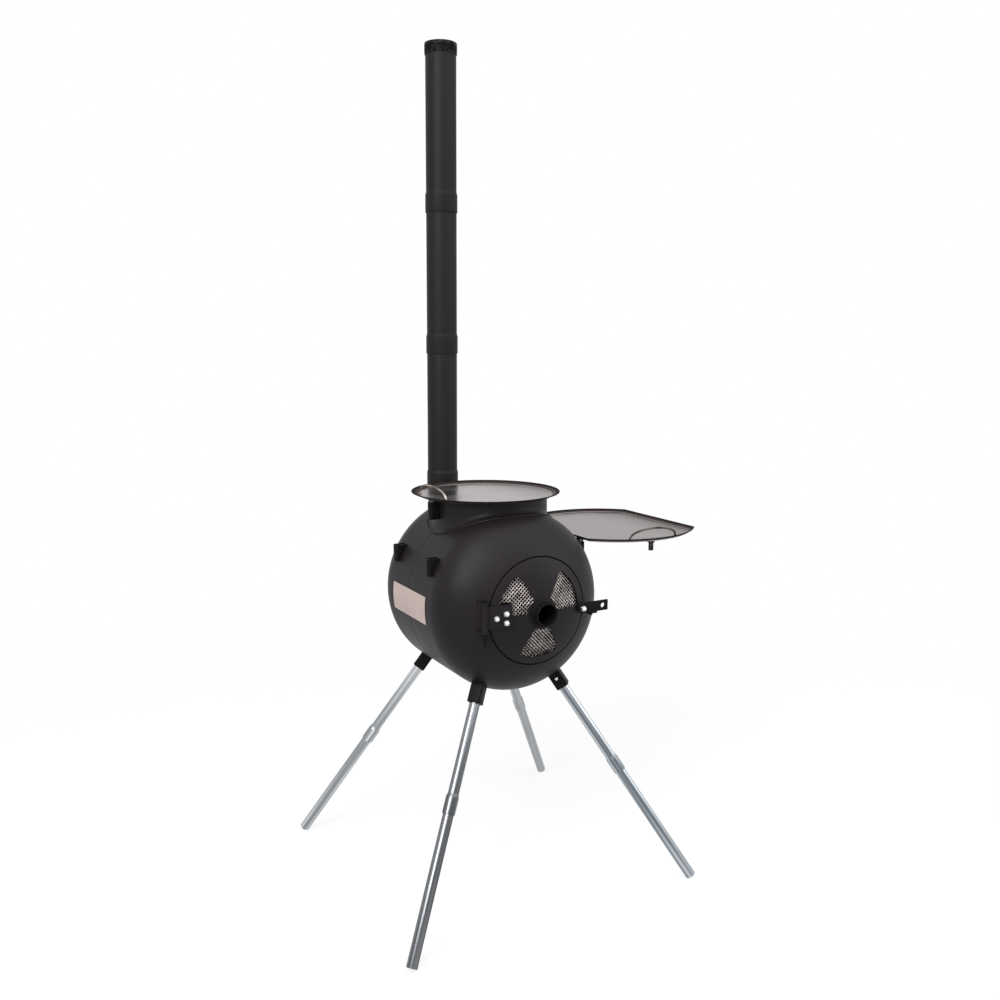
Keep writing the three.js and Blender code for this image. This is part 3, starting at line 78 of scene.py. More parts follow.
forward = Vector((
    math.sin(CAMERA_YAW) * math.cos(CAMERA_PITCH),
    math.cos(CAMERA_YAW) * math.cos(CAMERA_PITCH),
    -math.sin(CAMERA_PITCH),
))
level = Vector((math.cos(CAMERA_YAW), -math.sin(CAMERA_YAW), 0))
upright = level.cross(forward)
across = level * math.cos(CAMERA_ROLL) + upright * math.sin(CAMERA_ROLL)
above = upright * math.cos(CAMERA_ROLL) - level * math.sin(CAMERA_ROLL)
camera_data = bpy.data.cameras.new("photo_camera")
camera_data.lens = CAMERA_LENS
camera_data.sensor_width = 36
camera = bpy.data.objects.new("photo_camera", camera_data)
bpy.context.scene.collection.objects.link(camera)
turn = Matrix((across, above, -forward)).transposed().to_4x4()
camera.matrix_world = Matrix.Translation(TO_FRAME @ CAMERA_PLACE) @ turn
bpy.context.scene.camera = camera
print("camera at", [round(v, 3) for v in camera.location])

# %% [markdown]
# ## Shapes
# Almost everything here is a section carried along a path: domes, pipes, pegs and nuts are turned round an
# axis, plates are rings that grow outwards, wires follow a curve. One function joins rings of points, and
# the others only place the rings. Real sheet and bar have no knife edges, so a helper eases the corners of
# a section before it is turned. That gives an edge its thin line of light without a bevel modifier.

# %% Rings joined into a skin
SAME_POINT = 0.0001  # points nearer than this become one


def joined(rings, closed=False):
    """Joins rings of equally many points. Closed joins the last to the first, else both are capped."""
    shape = bmesh.new()
    loops = [[shape.verts.new(point) for point in ring] for ring in rings]
    following = loops[1:] + loops[:1] if closed else loops[1:]
    for here, there in zip(loops, following):
        for i, corner in enumerate(here):
            j = (i + 1) % len(here)
            shape.faces.new((corner, here[j], there[j], there[i]))
    if not closed:
        shape.faces.new(reversed(loops[0]))
        shape.faces.new(loops[-1])
    bmesh.ops.remove_doubles(shape, verts=shape.verts, dist=SAME_POINT)
    bmesh.ops.recalc_face_normals(shape, faces=shape.faces)
    return shape


def turned(section, steps=96, place=Matrix()):
    """Turns a section of (radius, height) pairs round the Z axis, then places it."""
    rings = []
    for i in range(steps):
        angle = FULL_TURN * i / steps
        spoke = Vector((math.cos(angle), math.sin(angle), 0))
        rings.append([place @ (spoke * radius + Vector((0, 0, height))) for radius, height in section])
    return joined(rings, closed=True)


# %% Eased corners
MOST_OF_SIDE = 0.45  # the share of a side that one rounded corner may take


def eased(points, radius, closed=True, steps=3, least_turn=20):
    """Rounds the sharp corners of a flat line of points."""
    result = []
    for i, corner in enumerate(points):
        here = Vector(corner)
        before = Vector(points[i - 1]) - here
        after = Vector(points[(i + 1) % len(points)]) - here
        at_end = not closed and i in (0, len(points) - 1)
        bend = 0 if at_end else math.pi - before.angle(after)
        if bend < math.radians(least_turn):
            result.append(here)
            continue
        reach = min(radius * math.tan(bend / 2), MOST_OF_SIDE * before.length, MOST_OF_SIDE * after.length)
        start, end = here + before.normalized() * reach, here + after.normalized() * reach
        for step in range(steps + 1):
            t = step / steps
            result.append(start * (1 - t) ** 2 + here * 2 * t * (1 - t) + end * t * t)
    return [tuple(point) for point in result]


def arc(radius, start, end, steps, middle=(0, 0)):
    """Points of an arc between two angles in radians."""
    angles = [start + (end - start) * i / steps for i in range(steps + 1)]
    return [(middle[0] + radius * math.cos(a), middle[1] + radius * math.sin(a)) for a in angles]


# %% [markdown]
# Brackets, bars and straps are cut from flat steel. Their outline is drawn once and given a thickness. The
# first and last rings shrink a little, which is the eased edge that a file or a tumbler leaves.

# %% Flat bar and sheet
EDGE_STEPS = 3
SHARPEST = 0.2  # keeps a needle-sharp corner from running away when an outline shrinks


def shrunk(outline, amount):
    """Moves a closed outline inwards. The outline runs anticlockwise."""
    result = []
    for i, corner in enumerate(outline):
        here = Vector(corner)
        before = (here - Vector(outline[i - 1])).normalized()
        after = (Vector(outline[(i + 1) % len(outline)]) - here).normalized()
        out_before, out_after = Vector((before.y, -before.x)), Vector((after.y, -after.x))
        outwards = (out_before + out_after) / max(1 + out_before.dot(out_after), SHARPEST)
        result.append(tuple(here - outwards * amount))
    return result


def cut_flat(outline, thickness, edge=0.4, place=Matrix()):
    """A flat piece from z = 0 up to its thickness."""
    rings = []
    for i in range(EDGE_STEPS + 1):
        angle = QUARTER_TURN * i / EDGE_STEPS
        rings.append((shrunk(outline, edge * (1 - math.sin(angle))), edge * (1 - math.cos(angle))))
    rings += [(ring, thickness - height) for ring, height in reversed(rings)]
    return joined([[place @ Vector((x, y, height)) for x, y in ring] for ring, height in rings])


def block(low, high):
    """A plain box between two corners."""
    (x0, y0, z0), (x1, y1, z1) = low, high
    floor = [(x0, y0), (x1, y0), (x1, y1), (x0, y1)]
    return joined([[Vector((x, y, z)) for x, y in floor] for z in (z0, z1)])


# %% Wires
def wire(path, radius, sides=12):
    """A round wire along a path. Each ring stands square to the path."""
    rings = []
    side = None
    for i, point in enumerate(path):
        ahead = (path[min(i + 1, len(path) - 1)] - path[max(i - 1, 0)]).normalized()
        if side is None:
            side = ahead.orthogonal()
        side = (side - ahead * side.dot(ahead)).normalized()
        other = ahead.cross(side)
        ring = [FULL_TURN * k / sides for k in range(sides)]
        rings.append([point + (side * math.cos(a) + other * math.sin(a)) * radius for a in ring])
    return joined(rings)


# %% [markdown]
# Holes and trimmed ends are cut with exact booleans, as a drill or a shaped cutter would. The result is
# stored at once, so that no cutter is left in the scene.

# %% Cutting and joining
def as_object(shape):
    """Puts a shape in the scene, so that a modifier can use it."""
    mesh = bpy.data.meshes.new("work")
    shape.to_mesh(mesh)
    shape.free()
    holder = bpy.data.objects.new("work", mesh)
    bpy.context.scene.collection.objects.link(holder)
    return holder


def cut(shape, *cutters, how="DIFFERENCE"):
    """Takes cutters from a shape, or keeps what they share with it."""
    target = as_object(shape)
    helpers = [as_object(cutter) for cutter in cutters]
    for helper in helpers:
        modifier = target.modifiers.new("cut", "BOOLEAN")
        modifier.operation = how
        modifier.solver = "EXACT"
        modifier.object = helper
    graph = bpy.context.evaluated_depsgraph_get()
    result = bmesh.new()
    mesh = bpy.data.meshes.new_from_object(target.evaluated_get(graph))
    result.from_mesh(mesh)
    for leftover in (target, *helpers):
        bpy.data.meshes.remove(leftover.data)
    bpy.data.meshes.remove(mesh)
    return result


def together(*shapes):
    """Several shapes as one piece."""
    whole = shapes[0]
    for shape in shapes[1:]:
        mesh = bpy.data.meshes.new("work")
        shape.to_mesh(mesh)
        whole.from_mesh(mesh)
        bpy.data.meshes.remove(mesh)
        shape.free()
    return whole


# %% A finished piece
pieces = {}


def add_piece(name, shape, body, material, stands_for=(), sharp=32):
    """Smooths a shape, gives it its finish and lets it ride on a body of the frame."""
    shape.transform(TO_FRAME)
    mesh = bpy.data.meshes.new(name)
    shape.to_mesh(mesh)
    shape.free()
    mesh.polygons.foreach_set("use_smooth", [True] * len(mesh.polygons))
    mesh.set_sharp_from_angle(angle=math.radians(sharp))
    mesh.materials.append(material)
    piece = bpy.data.objects.new(name, mesh)
    bpy.context.scene.collection.objects.link(piece)
    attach(piece, body)
    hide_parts(*stands_for)
    pieces[name] = piece
    print(name, "on", body, "with", len(mesh.polygons), "faces")


# %% [markdown]
# ## Finishes
# Each finish is worked out from the real material. Three helpers serve them all: one turns a colour as it
# is written on a screen into the linear value that light is reckoned in, one adds a node, and one starts
# a material.

# %% Colour and node helpers
def linear(colour):
    """An sRGB hex colour as linear red, green, blue and alpha."""
    parts = [int(colour[i:i + 2], 16) / 255 for i in (1, 3, 5)]
    return [p / 12.92 if p <= 0.04045 else ((p + 0.055) / 1.055) ** 2.4 for p in parts] + [1]


def add_node(tree, kind, settings={}, inputs={}):
    """Adds a node. An input is a plain value or the output of another node."""
    node = tree.nodes.new("ShaderNode" + kind)
    for name, value in settings.items():
        setattr(node, name, value)
    for name, value in inputs.items():
        if isinstance(value, bpy.types.NodeSocket):
            tree.links.new(value, node.inputs[name])
        else:
            node.inputs[name].default_value = value
    return node


def new_material(name):
    """A material with its node tree, its shader and the piece's own coordinates."""
    material = bpy.data.materials.new(name)
    material.use_nodes = True
    tree = material.node_tree
    shader = tree.nodes["Principled BSDF"]
    place = add_node(tree, "TexCoord").outputs["Object"]
    print("finish:", name)
    return material, tree, shader, place


# %% [markdown]
# ### Stove paint
# The body, door, collar and pipes are mild steel with a sprayed, heat-cured silicone paint. It is matte
# and faintly purple-black, with an IOR near 1.5, but its rough, chalky skin reflects less than a gloss
# paint. The spray leaves a fine orange peel of about 1.5 mm and slow changes of sheen from pass to pass.
# Sheet that faces the fire carries soot, which is the same recipe, but blacker and flat. Its black is partly
# painted shade, for the narrow gaps through which that sheet shows.

# %% Stove paint
def stove_paint(name, dark, light, sheen_low, sheen_high, reflects):
    """Two tones, two roughnesses, and how strongly the skin reflects beside a gloss paint's 0.5."""
    material, tree, shader, place = new_material(name)
    passes = add_node(tree, "TexNoise", inputs={"Vector": place, "Scale": 1 / (90 * MM), "Detail": 3})
    dust = add_node(tree, "TexNoise", inputs={"Vector": place, "Scale": 1 / (2.2 * MM), "Detail": 2})
    both = add_node(tree, "Math", {"operation": "MULTIPLY_ADD"}, {
        0: dust.outputs["Fac"], 1: 0.3, 2: passes.outputs["Fac"]})
    tone = add_node(tree, "Mix", {"data_type": "RGBA"}, {
        0: both.outputs[0], 6: linear(dark), 7: linear(light)})
    sheen = add_node(tree, "MapRange", inputs={
        "Value": passes.outputs["Fac"], "From Min": 0.3, "From Max": 0.7,
        "To Min": sheen_low, "To Max": sheen_high})
    peel = add_node(tree, "TexNoise", inputs={"Vector": place, "Scale": 1 / (1.5 * MM), "Detail": 2})
    bump = add_node(tree, "Bump", inputs={
        "Strength": 0.35, "Distance": 0.06 * MM, "Height": peel.outputs["Fac"]})
    tree.links.new(tone.outputs[2], shader.inputs["Base Color"])
    tree.links.new(sheen.outputs[0], shader.inputs["Roughness"])
    tree.links.new(bump.outputs[0], shader.inputs["Normal"])
    shader.inputs["IOR"].default_value = 1.5
    shader.inputs["Specular IOR Level"].default_value = reflects
    return material


body_paint = stove_paint("silicone_paint_on_body", "#131012", "#1c181c", 0.42, 0.5, 0.13)
pipe_paint = stove_paint("silicone_paint_on_pipes", "#141113", "#1c191b", 0.46, 0.56, 0.1)
fitting_paint = stove_paint("silicone_paint_on_fittings", "#0b0a0b", "#131213", 0.38, 0.5, 0.06)
# Soot, and painted shade for the narrow gaps round the door and along the seam, where this finish shows.
soot = stove_paint("soot_and_painted_gap_shade", "#080807", "#121110", 0.7, 0.85, 0.06)

# %% [markdown]
# ### Rolled steel of the two plates
# The plates are bare cold-rolled sheet with a satin face and faint rolling lines a few millimetres apart.
# Towards their right side the steel is painted darker, in patches, and so is its shine at a grazing view,
# which a metal takes from the specular tint: that is painted shade. Their flared rims carry a brown heat
# scale, which is hardly metallic, and their lips are burnt black and dry. The height above the plate's
# floor tells floor, rim and lip apart.

# %% Rolled steel
def rolled_steel(name, floor_height, lip_height, glance, painted_shade_from, painted_shade_to, painted_shade_most):
    """glance tints the shine at a grazing view. Painted shade darkens the steel and its shine between two
    places along X.
    """
    material, tree, shader, place = new_material(name)
    # Squeezed 12 times along X, so that patches of 30 mm become lines 2.5 mm apart.
    stretched = add_node(tree, "Mapping", inputs={"Vector": place, "Scale": (12, 1, 1)})
    lines = add_node(tree, "TexNoise", inputs={
        "Vector": stretched.outputs[0], "Scale": 1 / (30 * MM), "Detail": 5, "Roughness": 0.65})
    clouds = add_node(tree, "TexNoise", inputs={"Vector": place, "Scale": 1 / (70 * MM), "Detail": 4})
    satin = add_node(tree, "Mix", {"data_type": "RGBA"}, {
        0: lines.outputs["Fac"], 6: linear("#b0acab"), 7: linear("#bfbbba")})
    spot = add_node(tree, "SeparateXYZ", inputs={0: place})
    # Painted shade: the steel and its shine grow darker towards the right side, in patches.
    along = add_node(tree, "MapRange", {"interpolation_type": "SMOOTHSTEP"}, {
        "Value": spot.outputs["X"], "From Min": painted_shade_from, "From Max": painted_shade_to, "To Max": painted_shade_most})
    patchy_painted_shade = add_node(tree, "MapRange", inputs={
        "Value": clouds.outputs["Fac"], "To Min": 0.7, "To Max": 1.3})
    painted_shade = add_node(tree, "Math", {"operation": "MULTIPLY", "use_clamp": True}, {
        0: along.outputs[0], 1: patchy_painted_shade.outputs[0]})
    steel = add_node(tree, "Mix", {"data_type": "RGBA"}, {
        0: painted_shade.outputs[0], 6: satin.outputs[2], 7: linear("#6d696a")})
    tint = add_node(tree, "Mix", {"data_type": "RGBA"}, {
        0: painted_shade.outputs[0], 6: linear(glance), 7: linear("#545152")})
    scale = add_node(tree, "MapRange", {"interpolation_type": "SMOOTHSTEP"}, {
        "Value": spot.outputs["Z"],
        "From Min": floor_height + 0.1 * MM, "From Max": floor_height + 0.9 * MM})
    lip = add_node(tree, "MapRange", inputs={
        "Value": spot.outputs["Z"], "From Min": lip_height - 3 * MM, "From Max": lip_height - 1.8 * MM})
    heated = add_node(tree, "Mix", {"data_type": "RGBA"}, {
        0: scale.outputs[0], 6: steel.outputs[2], 7: linear("#2e2725")})
    colour = add_node(tree, "Mix", {"data_type": "RGBA"}, {
        0: lip.outputs[0], 6: heated.outputs[2], 7: linear("#0f0c0c")})
    metal = add_node(tree, "MapRange", inputs={"Value": scale.outputs[0], "To Min": 1, "To Max": 0.15})
    burnt = add_node(tree, "MapRange", inputs={
        "Value": lip.outputs[0], "To Min": metal.outputs[0], "To Max": 0})
    sheen = add_node(tree, "MapRange", inputs={
        "Value": clouds.outputs["Fac"], "From Min": 0.3, "From Max": 0.7, "To Min": 0.2, "To Max": 0.32})
    rougher = add_node(tree, "Math", {"operation": "MULTIPLY_ADD"}, {
        0: scale.outputs[0], 1: 0.25, 2: sheen.outputs[0]})
    dry = add_node(tree, "Math", {"operation": "MULTIPLY_ADD"}, {
        0: lip.outputs[0], 1: 0.3, 2: rougher.outputs[0]})
    bump = add_node(tree, "Bump", inputs={
        "Strength": 0.15, "Distance": 0.03 * MM, "Height": lines.outputs["Fac"]})
    tree.links.new(colour.outputs[2], shader.inputs["Base Color"])
    tree.links.new(tint.outputs[2], shader.inputs["Specular Tint"])
    tree.links.new(burnt.outputs[0], shader.inputs["Metallic"])
    tree.links.new(dry.outputs[0], shader.inputs["Roughness"])
    tree.links.new(bump.outputs[0], shader.inputs["Normal"])
    shader.inputs["Specular IOR Level"].default_value = 0.1
    return material


# %% [markdown]
# ### Zinc plate and wire
# The legs are drawn tube with a bright zinc plate. Drawing leaves lengthwise bands a few millimetres
# wide, in which the plate is much brighter or duller. Nuts and screws have a softer plate without bands.
# Handles, pegs and window cloth are plain drawn steel, darker or warmer. The grate and the cap are black
# with scale and soot. All of them are metal with a slow change of tone, so one function serves them.

# %% Zinc and wire
def plated(name, dull, bright, rough_low, rough_high, grain, place_in=None):
    """Metal with a slow change of tone. place_in turns a leg's length into Z, for lengthwise bands."""
    material, tree, shader, place = new_material(name)
    if place_in is not None:
        local = add_node(tree, "Mapping", {"vector_type": "TEXTURE"}, {
            "Vector": place, "Location": place_in.to_translation(), "Rotation": place_in.to_euler()})
        place = add_node(tree, "Mapping", inputs={"Vector": local.outputs[0], "Scale": (1, 1, 0.015)})
        place = place.outputs[0]
    bands = add_node(tree, "TexNoise", inputs={"Vector": place, "Scale": 1 / grain, "Detail": 2})
    contrast = add_node(tree, "MapRange", inputs={
        "Value": bands.outputs["Fac"], "From Min": 0.4, "From Max": 0.6})
    tone = add_node(tree, "Mix", {"data_type": "RGBA"}, {
        0: contrast.outputs[0], 6: linear(dull), 7: linear(bright)})
    sheen = add_node(tree, "MapRange", inputs={
        "Value": contrast.outputs[0], "To Min": rough_high, "To Max": rough_low})
    bump = add_node(tree, "Bump", inputs={
        "Strength": 0.1, "Distance": 0.03 * MM, "Height": bands.outputs["Fac"]})
    tree.links.new(tone.outputs[2], shader.inputs["Base Color"])
    tree.links.new(sheen.outputs[0], shader.inputs["Roughness"])
    tree.links.new(bump.outputs[0], shader.inputs["Normal"])
    shader.inputs["Metallic"].default_value = 1
    return material


zinc_nut = plated("zinc_plated_fasteners", "#c6c9cb", "#e6e9ea", 0.3, 0.42, 4 * MM)
peg_steel = plated("oiled_steel_pegs", "#2b2928", "#5c5856", 0.3, 0.45, 6 * MM)
handle_wire = plated("drawn_handle_wire", "#6b615b", "#a1968e", 0.3, 0.42, 30 * MM)
# The side handle's wire is given darker tones than the cook handle's.
darker_handle_wire = plated("darker_drawn_handle_wire", "#2a2423", "#5a514d", 0.35, 0.5, 30 * MM)
mesh_wire = plated("woven_steel_wire", "#8f8784", "#b9b2b0", 0.3, 0.42, 12 * MM)
dark_wire = plated("heat_blackened_wire", "#2a2827", "#47433f", 0.45, 0.6, 5 * MM)
cap_wire = plated("sooted_cap_wire", "#161514", "#2b2928", 0.5, 0.65, 5 * MM)

# %% [markdown]
# ### Blank plate
# A plain plate of metal foil is glued to the side of the body. It is pale and faintly pink, under a soft
# satin coat, and a little uneven from the glue beneath it. The glue is one noise that drives both the
# tone and the ripple.

# %% Blank foil plate
blank_foil, tree, shader, place = new_material("blank_foil_plate")
glue = add_node(tree, "TexNoise", inputs={"Vector": place, "Scale": 1 / (25 * MM), "Detail": 4})
tone = add_node(tree, "Mix", {"data_type": "RGBA"}, {
    0: glue.outputs["Fac"], 6: linear("#9e8b86"), 7: linear("#b4a29c")})
ripple = add_node(tree, "Bump", inputs={
    "Strength": 0.3, "Distance": 0.15 * MM, "Height": glue.outputs["Fac"]})
tree.links.new(tone.outputs[2], shader.inputs["Base Color"])
tree.links.new(ripple.outputs[0], shader.inputs["Normal"])
shader.inputs["Roughness"].default_value = 0.42
shader.inputs["Specular IOR Level"].default_value = 0.5
print("finishes:", len(bpy.data.materials))

# %% [markdown]
# ## The body
# Two steel discs were pressed into domes with a straight skirt and meet at a seam in the middle. A dome is a
# flattened half ellipse, so the section is an ellipse arc and a straight run. Turning it is exact, and
# gives an even mesh on which the paint's soft highlight stays clean. The corners at the seam are rolled.

# %% Domes
AXIS_HEIGHT = 562
BODY_RADIUS = 175
HALF_BARREL = 87
DOME_DEPTH = 113.5
SHEET = 2
GAP = 0.3  # between pieces that touch
SEAM_ROLL = 2
BODY_STEPS = 144
ALONG_Y = Matrix.Translation((0, 0, AXIS_HEIGHT)) @ Matrix.Rotation(-QUARTER_TURN, 4, "X")


def dome_reach(radius, inset=0):
    """How far the dome reaches along the body's axis at a radius."""
    share = radius / (BODY_RADIUS - inset)
    return HALF_BARREL + (DOME_DEPTH - inset) * math.sqrt(max(1 - share * share, 0))


def dome_arc(from_radius, to_radius, inset, steps=44):
    """Points (radius, along) of the dome between two radii."""
    size = BODY_RADIUS - inset
    start, end = math.acos(from_radius / size), math.acos(to_radius / size)
    angles = [start + (end - start) * i / steps for i in range(steps + 1)]
    return [(size * math.cos(a), HALF_BARREL + (DOME_DEPTH - inset) * math.sin(a)) for a in angles]


def envelope(growth):
    """The whole body grown by a clearance, for trimming what is welded on it."""
    outer = dome_arc(0, BODY_RADIUS + growth, -growth)
    return turned(outer + [(r, -y) for r, y in reversed(outer)], BODY_STEPS, ALONG_Y)


def shell_section(opening):
    """The section of one shell, from its opening to the seam and back inside."""
    skirt = [HALF_BARREL * i / 10 for i in range(9, 0, -1)]
    outer = dome_arc(opening, BODY_RADIUS, 0) + [(BODY_RADIUS, y) for y in skirt]
    inner = [(BODY_RADIUS - SHEET, y) for y in reversed(skirt)]
    inner += dome_arc(BODY_RADIUS - SHEET, opening, SHEET)
    rolled = eased([outer[-1], (BODY_RADIUS, GAP / 2), (BODY_RADIUS - SHEET, GAP / 2), inner[0]],
                   SEAM_ROLL, closed=False)
    return outer + rolled[1:-1] + inner


print("body", 2 * (HALF_BARREL + DOME_DEPTH), "mm long and", 2 * BODY_RADIUS, "mm across")

# %% [markdown]
# The front shell stops at the round door opening. Both shells are cut by the mouth under the cooking collar,
# and the rear one by the throat that leads smoke into the flue.

# %% Shells
DOOR_OPENING = 102.3
COLLAR_RADIUS = 112
COLLAR_WALL = 2.5
COLLAR_TOP = 753.7
MOUTH_RADIUS = 108
FLUE_Y = 208.5
PIPE_RADIUS = 31.2
PIPE_WALL = 1.4
FLUE_FLOOR_TOP = 579.5
THROAT_TOP = 662
CUTTER_TOP = 800  # above all that is cut from the top of the body


def rod(radius, low, high, steps=96, place=Matrix()):
    """A sharp-edged cylinder, mostly to drill with."""
    return turned([(0, low), (radius, low), (radius, high), (0, high)], steps, place)


def tube(outer, inner, low, high, edge=0.4, steps=96, place=Matrix()):
    """A length of tube with eased ends."""
    section = [(outer, low), (outer, high), (inner, high), (inner, low)]
    return turned(eased(section, edge), steps, place)


def mouth():
    """The round opening under the cooking collar, as a cutter."""
    return rod(MOUTH_RADIUS, AXIS_HEIGHT, CUTTER_TOP)


AT_FLUE = Matrix.Translation((0, FLUE_Y, 0))
front_section = [(r, -y) for r, y in shell_section(DOOR_OPENING)]
front = cut(turned(front_section, BODY_STEPS, ALONG_Y), mouth())
add_piece("front_dome", front, "stove", body_paint, ["front_shell"])
throat = rod(PIPE_RADIUS - PIPE_WALL - SHEET, FLUE_FLOOR_TOP, THROAT_TOP, 64, AT_FLUE)
rear = cut(turned(shell_section(0), BODY_STEPS, ALONG_Y), mouth(), throat)
add_piece("rear_dome", rear, "stove", body_paint, ["rear_shell"])

# %% [markdown]
# Two rings stiffen the shells from inside. A band backs the seam, and a curved ring round the door
# opening is what the door closes on. Both fit the inner face of the sheet with a hair of clearance.

# %% Inner rings
BACKING_SHEET = 2.2
BACKING_HALF_WIDTH = 12
STOP_BORE = 96.6
STOP_RADIUS = 113
inside = SHEET + GAP
backing_radius = BODY_RADIUS - inside
backing = tube(backing_radius, backing_radius - BACKING_SHEET, -BACKING_HALF_WIDTH, BACKING_HALF_WIDTH,
               steps=BODY_STEPS, place=ALONG_Y)
# Both rings show only through narrow gaps, and their near-black soot finish is partly painted shade there.
add_piece("seam_backing", cut(backing, mouth()), "stove", soot, ["seam_backing_ring"])
stop = dome_arc(STOP_BORE, STOP_RADIUS, inside, 8) + dome_arc(STOP_RADIUS, STOP_BORE, inside + SHEET, 8)
stop = turned(eased([(r, -y) for r, y in stop], 0.5), BODY_STEPS, ALONG_Y)
add_piece("door_stop", stop, "stove", soot, ["door_stop_ring"])

# %% [markdown]
# ### Cooking collar
# A short wide pipe stands on the body. Its foot is flared to follow the saddle shape of the domes. The
# section changes from one angle to the next, so each ring is worked out from the height of the body under
# it.

# %% Collar
FLARE = 10
FLARE_HEIGHT = 12
FOOT_LIP = 1.4
COLLAR_STEPS = 160
collar_foot = COLLAR_RADIUS + FLARE
collar_bore = COLLAR_RADIUS - COLLAR_WALL


def crown(x, y):
    """Height of the body's skin over a point of the plan."""
    past = max(abs(y) - HALF_BARREL, 0)
    return AXIS_HEIGHT + BODY_RADIUS * math.sqrt(1 - (x / BODY_RADIUS) ** 2 - (past / DOME_DEPTH) ** 2)


def collar_section(angle):
    """The collar's section at an angle, with its foot on the body's skin there."""
    c, s = math.cos(angle), math.sin(angle)
    foot = crown(collar_foot * c, collar_foot * s) + GAP
    flare_top = crown(COLLAR_RADIUS * c, COLLAR_RADIUS * s) + FLARE_HEIGHT
    rim = eased([(collar_bore, flare_top), (collar_bore, COLLAR_TOP), (COLLAR_RADIUS, COLLAR_TOP),
                 (COLLAR_RADIUS, flare_top)], 0.8, closed=False)
    section = rim[1:]
    for i in range(1, 9):
        a = QUARTER_TURN * i / 8
        drop = (flare_top - foot - FOOT_LIP) * math.sin(a)
        section.append((COLLAR_RADIUS + FLARE * (1 - math.cos(a)), flare_top - drop))
    for radius in (collar_foot, COLLAR_RADIUS + 6, COLLAR_RADIUS + 2, collar_bore):
        section.append((radius, crown(radius * c, radius * s) + GAP))
    return [Vector((r * c, r * s, z)) for r, z in section]


collar = joined([collar_section(FULL_TURN * i / COLLAR_STEPS) for i in range(COLLAR_STEPS)], closed=True)
add_piece("cooking_ring", collar, "stove", body_paint, ["cooking_collar"])

# %% [markdown]
# A thin weld runs round the foot of the collar. A bead is a wire whose radius swells a little with each
# puddle that the welder laid, so it is drawn as one, on the line where the foot meets the body.

# %% Weld of the collar
WELD_RADIUS = 1.7
WELD_RIPPLE = 0.18  # how much a puddle swells
WELD_LIFT = 0.6
WELD_STEPS = 480
PUDDLE_STEPS = 4
BEAD_SIDES = 8


def bead(path, radius, ripple):
    """A closed weld bead along a path, with the small ripples of each puddle."""
    rings = []
    count = len(path)
    for i, point in enumerate(path):
        ahead = (path[(i + 1) % count] - path[i - 1]).normalized()
        outwards = ahead.cross(Vector((0, 0, 1))).normalized()
        lift = outwards.cross(ahead)
        size = radius * (1 + ripple * math.sin(i * FULL_TURN / PUDDLE_STEPS))
        ring = [FULL_TURN * k / BEAD_SIDES for k in range(BEAD_SIDES)]
        rings.append([point + (outwards * math.cos(a) + lift * math.sin(a)) * size for a in ring])
    return joined(rings, closed=True)


weld_path = []
for i in range(WELD_STEPS):
    angle = FULL_TURN * i / WELD_STEPS
    x = (collar_foot + GAP) * math.cos(angle)
    y = (collar_foot + GAP) * math.sin(angle)
    weld_path.append(Vector((x, y, crown(x, y) + WELD_LIFT)))
add_piece("collar_weld", bead(weld_path, WELD_RADIUS, WELD_RIPPLE), "stove", body_paint)

# %% [markdown]
# ## Plates
# Each plate is one sheet with a flat floor and a rim pressed up and outwards to a thin lip. Both share
# one section. The cook plate is round, so the section is turned.

# %% Cook plate
RIM_HEIGHT = 6
PLATE_LIP = 1.6
PLATE_CORNER = 2
COOK_X = -9.5
COOK_RADIUS = 144.5
COOK_SPREAD = 13
COOK_BOTTOM = COLLAR_TOP + GAP


def plate_section(spread):
    """(inset from the lip, height) pairs of a plate's section, from under its floor to its top."""
    top = RIM_HEIGHT + SHEET
    return eased([
        (spread + 6 * PLATE_CORNER, 0),
        (spread + PLATE_CORNER, 0),
        (spread, PLATE_CORNER / 2),
        (0, top - PLATE_LIP),
        (0, top),
        (PLATE_LIP, top),
        (spread, SHEET + PLATE_CORNER / 2),
        (spread + PLATE_CORNER, SHEET),
        (spread + 6 * PLATE_CORNER, SHEET),
    ], 1.5, closed=False, least_turn=8)


cook_section = [(COOK_RADIUS - inset, height) for inset, height in plate_section(COOK_SPREAD)]
cook_section = [(0, 0)] + cook_section + [(0, SHEET)]
at_collar = Matrix.Translation((COOK_X, 0, COOK_BOTTOM))
# The cook plate's painted shade runs over its right half.
cook_steel = rolled_steel("rolled_steel_cook_plate", (COOK_BOTTOM + SHEET) * MM,
                          (COOK_BOTTOM + SHEET + RIM_HEIGHT) * MM, "#e4e1e1",
                          STOVE_X, STOVE_X + 150 * MM, 0.3)
add_piece("cook_tray", turned(cook_section, 160, at_collar), "cooking_plate", cook_steel,
          ["cook_plate"])

# %% [markdown]
# The side plate is a disc with two straight sides, so that it can stand close to the body. Its rings are
# the same outline moved inwards by the section, and its corners stay crisp, as from the press.

# %% Side plate
SIDE_X = 284
SIDE_RADIUS = 180
SIDE_HALF_WIDTH = 134.5
SIDE_SPREAD = 8
SIDE_BOTTOM = 663.7


def side_outline(inset):
    """The disc with two straight sides, moved inwards by an inset."""
    radius, half = SIDE_RADIUS - inset, SIDE_HALF_WIDTH - inset
    corner = math.acos(half / radius)
    right = arc(radius, corner, math.pi - corner, 64)
    return right + [(-x, -y) for x, y in right]


side_rings = []
for inset, height in plate_section(SIDE_SPREAD):
    side_rings.append([Vector((SIDE_X + x, y, SIDE_BOTTOM + height)) for x, y in side_outline(inset)])
